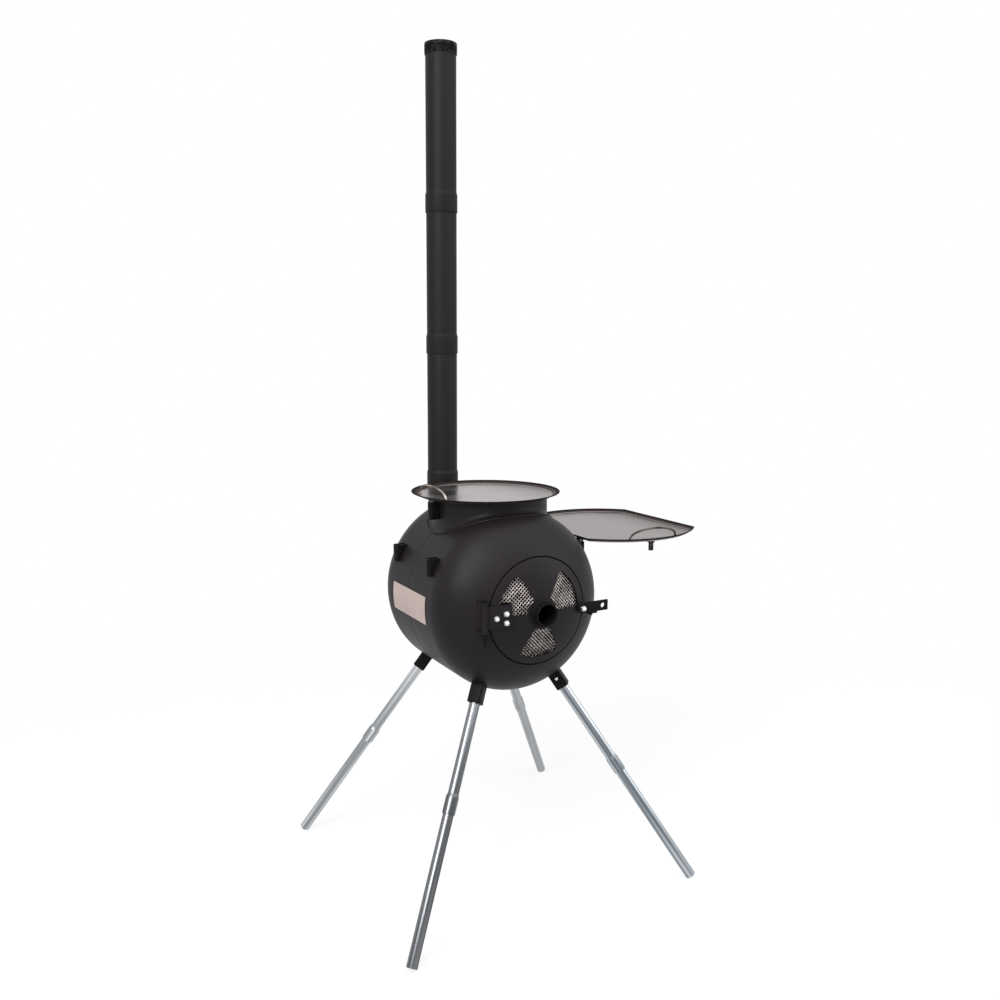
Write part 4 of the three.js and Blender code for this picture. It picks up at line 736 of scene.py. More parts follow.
# The side plate's painted shade runs over its right end.
side_steel = rolled_steel("rolled_steel_side_plate", (SIDE_BOTTOM + SHEET) * MM,
                          (SIDE_BOTTOM + SHEET + RIM_HEIGHT) * MM, "#cfcccc",
                          STOVE_X + 300 * MM, STOVE_X + 470 * MM, 0.35)
add_piece("side_tray", joined(side_rings), "shelf_plate", side_steel, ["side_plate"])
print("cook plate", 2 * COOK_RADIUS, "mm, side plate", 2 * SIDE_RADIUS, "by", 2 * SIDE_HALF_WIDTH, "mm")

# %% [markdown]
# ### Wire handles
# Each plate has an arc of 4 mm wire, spot-welded to its floor near the rim, for lifting it hot with a hook.
# A wire swept along the arc is the natural way. A small puddle of weld covers each foot.

# %% Handles
WIRE_RADIUS = 2
HANDLE_HALF_SPAN = 56.5
HANDLE_HEIGHT = 21
HANDLE_LEAN = 2
HANDLE_FULLNESS = 0.75  # below 1 the shoulders are fuller than a circle's
HANDLE_STEPS = 40
PUDDLE_RADIUS = 4
PUDDLE_SHOULDER = 2.6
PUDDLE_HEIGHT = 1.9
COOK_HANDLE_INSET = 31
SIDE_HANDLE_INSET = 25
SIDE_HANDLE_SHIFT = 2


def handle(place):
    """An arc of wire across Y, with a weld puddle on each foot."""
    path = [Vector((0, -HANDLE_HALF_SPAN, GAP))]
    for i in range(1, HANDLE_STEPS):
        angle = math.pi * i / HANDLE_STEPS
        rise = math.sin(angle) ** HANDLE_FULLNESS
        along = -HANDLE_HALF_SPAN * math.cos(angle)
        path.append(Vector((HANDLE_LEAN * rise, along, HANDLE_HEIGHT * rise)))
    path.append(Vector((0, HANDLE_HALF_SPAN, GAP)))
    shape = wire([place @ point for point in path], WIRE_RADIUS)
    puddle = eased([(0, GAP / 2), (PUDDLE_RADIUS, GAP / 2), (PUDDLE_SHOULDER, PUDDLE_HEIGHT - GAP),
                    (0, PUDDLE_HEIGHT)], 1, closed=False)
    for side in (-1, 1):
        foot = place @ Matrix.Translation((0, side * HANDLE_HALF_SPAN, 0))
        shape = together(shape, turned(puddle, 24, foot))
    return shape


cook_handle_place = Matrix.Translation((COOK_X - COOK_RADIUS + COOK_HANDLE_INSET, 0, COOK_BOTTOM + SHEET))
cook_handle = handle(cook_handle_place @ Matrix.Rotation(math.pi, 4, "Z"))
add_piece("cook_lifting_wire", cook_handle, "cooking_plate", handle_wire,
          ["cook_plate_handle"])
side_handle_place = Matrix.Translation((SIDE_X - SIDE_HANDLE_SHIFT, SIDE_HANDLE_INSET - SIDE_RADIUS,
                                        SIDE_BOTTOM + SHEET))
side_handle = handle(side_handle_place @ Matrix.Rotation(-QUARTER_TURN, 4, "Z"))
add_piece("side_lifting_wire", side_handle, "shelf_plate", darker_handle_wire,
          ["side_plate_handle"])

# %% [markdown]
# ### Pegs and straps
# Round pegs under the plates drop into straps, and a shoulder on each peg rests on its strap. The side
# plate has a spare peg near its front edge, which hangs free. A peg is turned, and its foot is slotted
# with a saw.

# %% Pegs
PEG_RADIUS = 5
PEG_LENGTH = 23
SHOULDER_RADIUS = 7.5
SHOULDER_HEIGHT = 7
PEG_X = 164
STRAP_SPREAD = 73
COOK_PEG_INSET = 30
SPARE_PEG_INSET = 32
SAW_HALF = 1
SAW_DEPTH = 8
SAW_REACH = 9  # longer than the peg is wide
COOK_PEG_X = COOK_X + COOK_PEG_INSET - COOK_RADIUS


def peg(x, y, top):
    """A round peg with a shoulder, hanging from a plate's underside at a height of top."""
    foot = top - PEG_LENGTH
    shoulder = top - SHOULDER_HEIGHT
    section = eased([(0, foot), (PEG_RADIUS, foot), (PEG_RADIUS, shoulder), (SHOULDER_RADIUS, shoulder),
                     (SHOULDER_RADIUS, top), (0, top)], 1, closed=False)
    pin = turned(section, 32, Matrix.Translation((x, y, 0)))
    slot = block((x - SAW_HALF, y - SAW_REACH, foot - 2), (x + SAW_HALF, y + SAW_REACH, foot + SAW_DEPTH))
    return cut(pin, slot)


side_top = SIDE_BOTTOM - GAP
add_piece("cook_pin", peg(COOK_PEG_X, 0, COLLAR_TOP), "cooking_plate", peg_steel,
          ["cook_plate_peg"])
for name, x, y in (("front", PEG_X, -STRAP_SPREAD), ("rear", PEG_X, STRAP_SPREAD),
                   ("spare", SIDE_X, SPARE_PEG_INSET - SIDE_RADIUS)):
    add_piece(f"side_pin_{name}", peg(x, y, side_top), "shelf_plate", peg_steel,
              [f"side_plate_peg_{name}"])

# %% [markdown]
# Each strap is flat bar bent to a U round a former, so its corners are round, and is welded to the body
# or the collar. The U is one outline with a height, and its two ends run into the body and are trimmed to
# it.

# %% Straps
STRAP_INNER = 5.5
STRAP_OUTER = 8.5
STRAP_BEND = 6
STRAP_INNER_BEND = 2.2
STRAP_HEIGHT = 32.2
STRAP_TAIL = 35
strap_drop = SHOULDER_HEIGHT + GAP
bend_middle = STRAP_OUTER - STRAP_BEND
strap_outline = [(-STRAP_TAIL, -STRAP_OUTER)]
strap_outline += arc(STRAP_BEND, -QUARTER_TURN, 0, 8, (bend_middle, -bend_middle))
strap_outline += arc(STRAP_BEND, 0, QUARTER_TURN, 8, (bend_middle, bend_middle))
strap_outline += eased([(-STRAP_TAIL, STRAP_OUTER), (-STRAP_TAIL, STRAP_INNER), (STRAP_INNER, STRAP_INNER),
                        (STRAP_INNER, -STRAP_INNER), (-STRAP_TAIL, -STRAP_INNER)],
                       STRAP_INNER_BEND, closed=False)


def strap(x, y, top, turn):
    """A U-shaped strap round a peg's axis, with its upper edge at top."""
    place = Matrix.Translation((x, y, top - STRAP_HEIGHT)) @ Matrix.Rotation(turn, 4, "Z")
    return cut_flat(strap_outline, STRAP_HEIGHT, 0.5, place)


for side, sign in (("right", 1), ("left", -1)):
    for end, way in (("front", -1), ("rear", 1)):
        bar = strap(sign * PEG_X, way * STRAP_SPREAD, side_top - strap_drop, 0 if sign > 0 else math.pi)
        add_piece(f"bent_strap_{side}_{end}", cut(bar, envelope(GAP)), "stove",
                  fitting_paint, [f"strap_{side}_{end}"])
bar = cut(strap(COOK_PEG_X, 0, COLLAR_TOP - strap_drop, math.pi),
          rod(COLLAR_RADIUS + GAP, AXIS_HEIGHT, CUTTER_TOP))
add_piece("bent_strap_collar", bar, "stove", fitting_paint, ["strap_collar"])

# %% [markdown]
# ## Flue
# A socket let into the rear dome carries three pipes. Each has a bell at its lower end that slips over the
# pipe below. The bell was rolled out, so its shoulder is soft. The top ends in a sleeve of wire cloth that
# stops sparks.

# %% Flue socket and pipes
BELL_LENGTH = 41
BELL_SHOULDER = 6
FIRST_BELL = 738
PIPE_PITCH = 284.75
PIPE_STEPS = 128
FLUE_FLOOR_SHEET = 2.5
pipe_bore = PIPE_RADIUS - PIPE_WALL
bell_bore = PIPE_RADIUS + GAP
bell_radius = bell_bore + PIPE_WALL
pipe_insert = BELL_LENGTH - BELL_SHOULDER - GAP
pipe_length = PIPE_PITCH + pipe_insert
flue_top = FIRST_BELL + 2 * PIPE_PITCH + pipe_length

socket = tube(PIPE_RADIUS, pipe_bore, FLUE_FLOOR_TOP + GAP, FIRST_BELL + pipe_insert, place=AT_FLUE)
add_piece("flue_spigot", cut(socket, envelope(GAP)), "stove", body_paint, ["flue_socket"])
floor_bottom = FLUE_FLOOR_TOP - FLUE_FLOOR_SHEET
cover = eased([(0, floor_bottom), (PIPE_RADIUS, floor_bottom), (PIPE_RADIUS, FLUE_FLOOR_TOP),
               (0, FLUE_FLOOR_TOP)], 0.8, closed=False)
add_piece("flue_floor", cut(turned(cover, 96, AT_FLUE), envelope(GAP)), "stove", body_paint,
          ["flue_base_plate"])

pipe_section = eased([
    (bell_radius, 0),
    (bell_radius, BELL_LENGTH - BELL_SHOULDER),
    (PIPE_RADIUS, BELL_LENGTH),
    (PIPE_RADIUS, pipe_length),
    (pipe_bore, pipe_length),
    (pipe_bore, BELL_LENGTH),
    (bell_bore, BELL_LENGTH - BELL_SHOULDER),
    (bell_bore, 0),
], 2.5, least_turn=8)
for i, name in enumerate(("lower", "middle", "upper")):
    place = Matrix.Translation((0, FLUE_Y, FIRST_BELL + i * PIPE_PITCH))
    add_piece(f"flue_pipe_{name}", turned(pipe_section, PIPE_STEPS, place), f"pipe_{name}",
              pipe_paint, [f"chimney_{name}"])
print("flue top at", flue_top, "mm")

# %% [markdown]
# ### Wire cloth
# Plain-weave cloth has two families of wires that pass over and under each other. A wire's height is a
# wave with one crossing per pitch, and the other family has the opposite wave. The function takes a test
# that says where the cloth is, and a rule that bends the flat cloth into place. Real cloth for a stove is
# finer and would blur to grey at this size, so both cloths are drawn as coarse as they have to be to
# show.

# %% Woven cloth
def woven(pitch, warp, weft, reach, is_inside, placed, turn=0, sides=6):
    """Wires at 45 degrees less a turn, kept where is_inside holds. placed maps (x, y, height) to a point."""
    shape = bmesh.new()
    count = int(reach / pitch)
    lift_most = (warp + weft) * 0.51  # a hair more than half, so that crossing wires just part
    for family, radius in ((-1, warp), (1, weft)):
        heading = math.pi / 4 * (2 - family) - turn
        c, s = math.cos(heading), math.sin(heading)
        for k in range(-count, count + 1):
            run = []
            for step in range(-2 * count, 2 * count + 2):
                u, v = step * pitch / 2, k * pitch
                x, y = u * c - v * s, u * s + v * c
                if is_inside(x, y) and step <= 2 * count:
                    run.append(placed(x, y, family * lift_most * math.cos(math.pi * (u / pitch + k))))
                    continue
                if len(run) > 1:
                    shape = together(shape, wire(run, radius, sides))
                run = []
    return shape


# %% [markdown]
# The spark arrestor is a short sleeve of the cloth round the top of the pipe, closed by a disc of the
# same cloth and held by two hoops. The upper hoop is nearly as tall as the cloth that stands above the
# pipe. Soot has blackened all of it.

# %% Spark arrestor
CAP_OVERLAP = 13.75
CAP_RISE = 7.25
CAP_PITCH = 2.6
CAP_WIRE = 0.55
CAP_PRESSED = 0.6  # the share of its thickness that the rolled cloth keeps
CLOTH_HALF_HEIGHT = 10
HOOP_WALL = 0.6
LOWER_HOOP = 2
UPPER_HOOP = 6.5
LID_RISE = 2.8
cap_bottom = flue_top - CAP_OVERLAP
cap_top = cap_bottom + CAP_OVERLAP + CAP_RISE
cap_radius = bell_bore + CAP_WIRE
hoops = []
for low, high in ((cap_bottom, cap_bottom + LOWER_HOOP), (cap_top - UPPER_HOOP, cap_top)):
    hoops.append(tube(cap_radius + HOOP_WALL, bell_bore, low, high, 0.3, place=AT_FLUE))


def round_the_pipe(x, y, lift):
    """Rolls flat cloth round the pipe: x runs round it, y is the height."""
    radius = cap_radius + lift * CAP_PRESSED
    return Vector((radius * math.cos(x / cap_radius), FLUE_Y + radius * math.sin(x / cap_radius), y))


sleeve_middle = (cap_bottom + cap_top) / 2
sleeve = woven(CAP_PITCH, CAP_WIRE, CAP_WIRE, 1.1 * math.pi * cap_radius,
               lambda x, y: abs(x) <= math.pi * cap_radius and abs(y) < CLOTH_HALF_HEIGHT,
               lambda x, y, lift: round_the_pipe(x, y + sleeve_middle, lift), sides=5)
add_piece("spark_sleeve", together(sleeve, *hoops), "spark_arrestor", cap_wire,
          ["spark_arrestor_cap"])
lid_height = flue_top + LID_RISE
lid = woven(CAP_PITCH, CAP_WIRE, CAP_WIRE, bell_bore, lambda x, y: math.hypot(x, y) < bell_bore,
            lambda x, y, lift: Vector((x, FLUE_Y + y, lid_height + lift)), sides=5)
add_piece("spark_lid", lid, "spark_arrestor", cap_wire, ["spark_arrestor_mesh"])

# %% [markdown]
# ## Door
# The door is the cap that was cut from the front dome, so it has the same curve. Three fan-shaped windows
# and the hole for the air tube are cut in it. The fans have rounded corners, and the one beside the hinge
# keeps whole sheet under the hinge leaf. Each cutter is as simple as the tool that would make the hole.

# %% Door dimensions
DOOR_RADIUS = 99.5
AIR_TUBE_RADIUS = 22.5
WINDOW_INNER = 30
WINDOW_OUTER = 85
WINDOW_HALF_ANGLE = math.radians(29)
WINDOW_CORNER = 6
HINGE_X = -111.5
HINGE_Y = -184
LEAF_MIDDLE = 562
LEAF_PAD_HALF = 23  # half the height of the whole sheet kept under the leaf
LEAF_PAD_END_X = -60
OUTER_BOLT_X = -92
INNER_BOLT_X = -75
BOLT_SPREAD = 8.3
LATCH_X = 92
LATCH_HEIGHT = 557.5
BOLT_RADIUS = 3
CUTTER_REACH = 300  # well past the body, measured from its middle
window_angles = [math.radians(30 + 120 * i) for i in range(3)]
leaf_bolts = [(OUTER_BOLT_X, LEAF_MIDDLE), (INNER_BOLT_X, LEAF_MIDDLE + BOLT_SPREAD),
              (INNER_BOLT_X, LEAF_MIDDLE - BOLT_SPREAD)]
FACING_FRONT = Matrix.Rotation(QUARTER_TURN, 4, "X")
print("windows at", [round(math.degrees(angle)) for angle in window_angles], "degrees")


# %% Cutters of the door
def fan(inner, outer, half_angle, corner):
    """A fan about +X with rounded corners, anticlockwise."""
    outer_arc = half_angle - math.asin(corner / (outer - corner))
    inner_arc = half_angle - math.asin(corner / (inner + corner))
    far = ((outer - corner) * math.cos(outer_arc), (outer - corner) * math.sin(outer_arc))
    near = ((inner + corner) * math.cos(inner_arc), (inner + corner) * math.sin(inner_arc))
    upper = arc(outer, 0, outer_arc, 12)
    upper += arc(corner, outer_arc, half_angle + QUARTER_TURN, 8, far)[1:]
    upper += arc(corner, half_angle + QUARTER_TURN, inner_arc + math.pi, 8, near)
    upper += arc(inner, inner_arc, 0, 8)[1:]
    return upper + [(x, -y) for x, y in reversed(upper[1:-1])]


def leaf_pad():
    """What stays whole under the hinge leaf."""
    return block((HINGE_X, -CUTTER_REACH, LEAF_MIDDLE - LEAF_PAD_HALF),
                 (LEAF_PAD_END_X, 0, LEAF_MIDDLE + LEAF_PAD_HALF))


def window_cutter(angle):
    """A fan-shaped punch through the dome, turned about the body's axis."""
    place = Matrix.Translation((0, 0, AXIS_HEIGHT)) @ Matrix.Rotation(-angle, 4, "Y") @ FACING_FRONT
    outline = fan(WINDOW_INNER, WINDOW_OUTER, WINDOW_HALF_ANGLE, WINDOW_CORNER)
    return cut_flat(outline, CUTTER_REACH, 0.1, place)


def bolt_hole(x, z):
    """A drill along Y with a bolt's clearance."""
    return rod(BOLT_RADIUS + GAP, 0, CUTTER_REACH, 24, Matrix.Translation((x, 0, z)) @ FACING_FRONT)


# %% Door panel
door_section = eased(
    [(r, -y) for r, y in dome_arc(AIR_TUBE_RADIUS + GAP, DOOR_RADIUS, 0, 36)
     + dome_arc(DOOR_RADIUS, AIR_TUBE_RADIUS + GAP, SHEET, 36)], 0.5)
cutters = [cut(window_cutter(angle), leaf_pad()) for angle in window_angles]
cutters += [bolt_hole(x, z) for x, z in leaf_bolts + [(LATCH_X, LATCH_HEIGHT)]]
panel = cut(turned(door_section, 160, ALONG_Y), *cutters)
add_piece("door_cap", panel, "door", body_paint, ["door_panel"])

# %% [markdown]
# Behind each window lies a flat fan of steel wire cloth that leans with the dome. The wires run on the
# diagonal in each. The warp is the thicker wire, and the photograph shows it as fine lines that fall to
# the right. The left screen was turned before it was cut, so there both wires show, and the lines rise to
# the right.

# %% Window screens
SCREEN_MARGIN = 3.2
SCREEN_PITCH = 5
SCREEN_WARP = 0.85
SCREEN_WEFT = 0.35
TURNED_SCREEN = 1
TURNED_WIRES = (0.55, 0.7)
CLOTH_MIDDLE = 28  # from the fan's narrow end to the middle of its cloth
CLOTH_REACH = 62
cloth_half_thickness = SCREEN_WARP + SCREEN_WEFT
screen_inner = WINDOW_INNER - SCREEN_MARGIN
screen_outer = WINDOW_OUTER + SCREEN_MARGIN
screen_half_angle = WINDOW_HALF_ANGLE + SCREEN_MARGIN / WINDOW_OUTER
near_line = screen_inner * math.cos(screen_half_angle)
far_line = screen_outer * math.cos(screen_half_angle)
near_reach = dome_reach(screen_inner, SHEET) - GAP
far_reach = dome_reach(screen_outer, SHEET) - GAP
lean = math.atan2(near_reach - far_reach, far_line - near_line)
stretch = 1 / math.cos(lean)

for i, angle in enumerate(window_angles):
    place = (Matrix.Translation((0, 0, AXIS_HEIGHT)) @ Matrix.Rotation(-angle, 4, "Y")
             @ Matrix.Translation((near_line, -near_reach, 0)) @ Matrix.Rotation(lean, 4, "Z"))

    def on_screen(x, y, lift=0):
        return place @ Vector((x + CLOTH_MIDDLE, cloth_half_thickness + lift, y))

    def in_window(x, y):
        out = (x + CLOTH_MIDDLE) / stretch + near_line
        in_ring = screen_inner < math.hypot(out, y) < screen_outer
        in_fan = in_ring and abs(math.atan2(y, out)) < screen_half_angle
        point = on_screen(x, y)
        beside_leaf = abs(point.z - LEAF_MIDDLE) < LEAF_PAD_HALF + 1
        return in_fan and not (beside_leaf and point.x < LEAF_PAD_END_X + 1)

    wires = TURNED_WIRES if i == TURNED_SCREEN else (SCREEN_WARP, SCREEN_WEFT)
    cloth = woven(SCREEN_PITCH, *wires, CLOTH_REACH, in_window, on_screen, turn=angle)
    add_piece(f"wire_cloth_{i + 1}", cloth, "door", mesh_wire,
              [f"window_screen_{i + 1}"], sharp=60)
print("wires lean", round(math.degrees(lean), 1), "degrees")

# %% [markdown]
# The air tube is a turned fitting: a short tube with a soft rounded mouth and a conical washer against the
# door, held from inside by a ring nut.

# %% Air tube and ring nut
AIR_BORE = 19
AIR_FRONT = 216.5
AIR_BACK = 185.5
FLANGE_RADIUS = 26.5
FLANGE_THICKNESS = 3.5
RING_NUT_RADIUS = 34
RING_NUT_THICKNESS = 3
flange_back = dome_reach(AIR_TUBE_RADIUS) + GAP
air_section = eased([
    (AIR_TUBE_RADIUS, -AIR_BACK),
    (AIR_TUBE_RADIUS, -flange_back),
    (FLANGE_RADIUS, -flange_back),
    (FLANGE_RADIUS, -flange_back - FLANGE_THICKNESS / 2),
    (AIR_TUBE_RADIUS + GAP, -flange_back - FLANGE_THICKNESS),
    (AIR_TUBE_RADIUS, -AIR_FRONT),
    (AIR_BORE, -AIR_FRONT),
    (AIR_BORE, -AIR_BACK),
], 1.2)
add_piece("air_inlet", turned(air_section, 96, ALONG_Y), "door", fitting_paint,
          ["air_tube"])
screen_back = near_reach - math.tan(lean) * (RING_NUT_RADIUS - near_line) - stretch * cloth_half_thickness
nut_front = screen_back - GAP
ring_nut = tube(RING_NUT_RADIUS, AIR_TUBE_RADIUS + GAP, -nut_front, RING_NUT_THICKNESS - nut_front,
                0.6, place=ALONG_Y)
add_piece("air_inlet_nut", ring_nut, "door", fitting_paint, ["air_tube_ring_nut"])

# %% [markdown]
# ## Hinge
# A flat leaf with a rolled knuckle is bolted to the door, and turns on a pin between two lugs of a
# bracket on the body. All three are drawn round the pin's axis, so that they stay in line.

# %% Hinge dimensions
KNUCKLE_RADIUS = 5.5
KNUCKLE_BOTTOM = 538.3
KNUCKLE_TOP = 588.7
PIN_RADIUS = 3
LUG = 3
LUG_NOSE = 6.5
LUG_OUTER_X = -119.5
PIN_TAIL = 24
PIN_SLEEVE = 10
PIN_HEAD = 5.5
PIN_HEAD_HEIGHT = 3
PIN_HOLE_ENDS = (500, 620)  # heights below and above the whole hinge
AT_HINGE = Matrix.Translation((HINGE_X, HINGE_Y, 0))


def pin_hole():
    """A drill up the hinge's axis."""
    return rod(PIN_RADIUS + GAP, *PIN_HOLE_ENDS, 32, AT_HINGE)


print("hinge axis at x =", HINGE_X, "y =", HINGE_Y)


# %% [markdown]
# The leaf is flat and touches the dome along one line, so it takes its slope from the dome there. Its
# corners are rounded with a file, and its outer edge is rolled round the pin as the knuckle.

# %% Leaf with its knuckle
LEAF_THICKNESS = 3
LEAF_HEIGHT = 42
LEAF_CORNER = 7
LEAF_TOUCH_X = -80
LEAF_END_X = -62
leaf_slope = math.atan2(dome_reach(-LEAF_TOUCH_X - 1) - dome_reach(-LEAF_TOUCH_X + 1), 2)


def leaf_back(x):
    """Where the back of the leaf lies along Y, a hair in front of the dome."""
    return -dome_reach(-LEAF_TOUCH_X) - GAP - math.tan(leaf_slope) * (x - LEAF_TOUCH_X)


leaf_start_x = HINGE_X + PIN_RADIUS
leaf_length = (LEAF_END_X - leaf_start_x) / math.cos(leaf_slope)
along_leaf = Vector((math.cos(leaf_slope), -math.sin(leaf_slope), 0))
leaf_out = Vector((-math.sin(leaf_slope), -math.cos(leaf_slope), 0))
leaf_turn = Matrix((along_leaf, Vector((0, 0, 1)), leaf_out)).transposed().to_4x4()
leaf_corner = Vector((leaf_start_x, leaf_back(leaf_start_x), LEAF_MIDDLE - LEAF_HEIGHT / 2))
leaf_outline = eased([(0, 0), (leaf_length, 0), (leaf_length, LEAF_HEIGHT), (0, LEAF_HEIGHT)],
                     LEAF_CORNER, steps=6)
leaf_outline = [(min(max(x, 0), leaf_length), z) for x, z in leaf_outline]
leaf = cut_flat(leaf_outline, LEAF_THICKNESS, 0.4, Matrix.Translation(leaf_corner) @ leaf_turn)
leaf = cut(leaf, *[bolt_hole(x, z) for x, z in leaf_bolts], pin_hole())
knuckle = tube(KNUCKLE_RADIUS, PIN_RADIUS + GAP, KNUCKLE_BOTTOM, KNUCKLE_TOP, steps=40, place=AT_HINGE)
add_piece("door_leaf", together(leaf, knuckle), "door", body_paint, ["hinge_leaf"])
print("leaf slopes", round(math.degrees(leaf_slope), 1), "degrees")

# %% [markdown]
# The bracket is welded to the front dome. Its web is a strip of sheet that lies on the dome: it is what a
# block shares with the body grown by the sheet's thickness. The two lugs stand square to it.

# %% Bracket
lug_outline = [(HINGE_X + LUG_NOSE, HINGE_Y + 3 * LUG_NOSE), (LUG_OUTER_X, HINGE_Y + 3 * LUG_NOSE),
               (LUG_OUTER_X, HINGE_Y)]
lug_outline += arc(LUG_NOSE, -QUARTER_TURN, 0, 10, (HINGE_X, HINGE_Y))
lower_lug = KNUCKLE_BOTTOM - GAP - LUG
upper_lug = KNUCKLE_TOP + GAP
web = cut(block((LUG_OUTER_X, -CUTTER_REACH, lower_lug), (HINGE_X, 0, upper_lug + LUG)),
          envelope(GAP + SHEET), how="INTERSECT")
bracket = cut(web, envelope(GAP), pin_hole())
for low in (lower_lug, upper_lug):
    lug = cut_flat(lug_outline, LUG, 0.4, Matrix.Translation((0, 0, low)))
    bracket = together(bracket, cut(lug, envelope(GAP), pin_hole()))
add_piece("hinge_lugs", bracket, "stove", body_paint, ["hinge_bracket"])

# %% [markdown]
# The pin is turned in one piece. Its head rests on the upper lug, and a sleeve under the lower lug keeps
# it from lifting out.

# %% Pin
pin_bottom = lower_lug - PIN_TAIL
sleeve_top = lower_lug - GAP
pin_head = upper_lug + LUG + GAP
pin_section = eased([
    (0, pin_bottom), (PIN_RADIUS, pin_bottom), (PIN_RADIUS, sleeve_top - PIN_SLEEVE),
    (PIN_HEAD, sleeve_top - PIN_SLEEVE), (PIN_HEAD, sleeve_top), (PIN_RADIUS, sleeve_top),
    (PIN_RADIUS, pin_head), (PIN_HEAD, pin_head), (PIN_HEAD, pin_head + PIN_HEAD_HEIGHT),
    (0, pin_head + PIN_HEAD_HEIGHT),
], 0.8, closed=False)
add_piece("hinge_rod", turned(pin_section, 32, AT_HINGE), "stove", fitting_paint,
          ["hinge_pin"])

# %% [markdown]
# ### Dome nuts
# Bright plated dome nuts close the bolts of the hinge and the latch. A dome nut is a hexagon with a
# chamfered skirt and a ball on top. Each ring starts as a hexagon and is cut back to a circle where the
# chamfer bites, which is how the real nut is turned.

# %% Dome nuts and bolts
NUT_CORNER = 5.6
NUT_SKIRT = 5
NUT_BALL = 4.5
NUT_BALL_HEIGHT = 5
NUT_LOWER_CHAMFER = 0.7
NUT_UPPER_CHAMFER = 0.8
NUT_NECK = 0.1
NUT_STEPS = 48
HEAD_RADIUS = 4.2
HEAD_THICKNESS = 2.4


def dome_nut(x, z, back, head_front):
    """A bolt along Y with a dome nut in front of y = -back and a flat head behind y = -head_front."""
    place = Matrix.Translation((x, 0, z)) @ FACING_FRONT
    flat = NUT_CORNER * math.cos(math.pi / 6)

    def hexagon(limit, height):
        ring = []
        for i in range(NUT_STEPS):
            angle = FULL_TURN * i / NUT_STEPS
            radius = flat / math.cos((angle + math.pi / 6) % (math.pi / 3) - math.pi / 6)
            radius = min(radius, limit)
            ring.append(place @ Vector((radius * math.cos(angle), radius * math.sin(angle), height)))
        return ring

    skirt_top = back + NUT_SKIRT
    rings = [hexagon(flat, back), hexagon(NUT_CORNER, back + NUT_LOWER_CHAMFER),
             hexagon(NUT_CORNER, skirt_top - NUT_UPPER_CHAMFER), hexagon(flat, skirt_top)]
    for i in range(8):
        angle = QUARTER_TURN * i / 8
        height = skirt_top + NUT_NECK + NUT_BALL_HEIGHT * math.sin(angle)
        rings.append(hexagon(NUT_BALL * math.cos(angle), height))
    head_back = head_front - HEAD_THICKNESS
    shank = eased([(0, head_back), (HEAD_RADIUS, head_back), (HEAD_RADIUS, head_front),
                   (BOLT_RADIUS, head_front), (BOLT_RADIUS, back), (0, back)], 0.5, closed=False)
    return together(joined(rings), turned(shank, 32, place))


def head_reach(x, z):
    """How far the door's inner face reaches where the flat head of a bolt bears on it."""
    return dome_reach(math.hypot(x, z - AXIS_HEIGHT) + HEAD_RADIUS, SHEET) - GAP


for i, (x, z) in enumerate(leaf_bolts):
    leaf_front = -leaf_back(x + NUT_CORNER) + LEAF_THICKNESS / math.cos(leaf_slope)
    add_piece(f"leaf_nut_{i + 1}", dome_nut(x, z, leaf_front + GAP, head_reach(x, z)), "door",
              zinc_nut, [f"hinge_bolt_{i + 1}"])

# %% [markdown]
# ## Latch
# A flat bar turns on its bolt and drops on a ledge beside the door. The hole near its end is for lifting it
# with a hook while it is hot.

# %% Latch
BAR_END = 150
BAR_HALF = 10
BAR_THICKNESS = 3
BAR_BACK = -189
HOLE_X = 138.5
HOLE_RADIUS = 4.75
SPACER_RADIUS = 6.5
SPACER_START = 100  # inside the dome, where the spacer is trimmed
bar_outline = arc(BAR_HALF, QUARTER_TURN, 3 * QUARTER_TURN, 20)
bar_outline += eased([(0, -BAR_HALF), (BAR_END - LATCH_X, -BAR_HALF), (BAR_END - LATCH_X, BAR_HALF),
                      (0, BAR_HALF)], 1.5, closed=False)[1:-1]
at_bar = Matrix.Translation((LATCH_X, BAR_BACK, LATCH_HEIGHT)) @ FACING_FRONT
at_latch = Matrix.Translation((LATCH_X, 0, LATCH_HEIGHT)) @ FACING_FRONT
at_hole = Matrix.Translation((HOLE_X, 0, LATCH_HEIGHT)) @ FACING_FRONT
bar = cut(cut_flat(bar_outline, BAR_THICKNESS, 0.4, at_bar), bolt_hole(LATCH_X, LATCH_HEIGHT),
          rod(HOLE_RADIUS, 0, CUTTER_REACH, 40, at_hole))
add_piece("latch_strip", bar, "latch", fitting_paint, ["latch_bar"])
spacer = tube(SPACER_RADIUS, BOLT_RADIUS + GAP, SPACER_START, -BAR_BACK - GAP, steps=40, place=at_latch)
add_piece("latch_washer", cut(spacer, envelope(GAP)), "door", fitting_paint,
          ["latch_spacer"])
add_piece("latch_nut", dome_nut(LATCH_X, LATCH_HEIGHT, BAR_THICKNESS - BAR_BACK + GAP,
                                head_reach(LATCH_X, LATCH_HEIGHT)),
          "door", zinc_nut, ["latch_bolt"])

# %% [markdown]
# The bar drops on a small angle of bent sheet that is welded to the front dome. Two blocks make it, each
# trimmed to the dome, because most of it hides behind the bar.

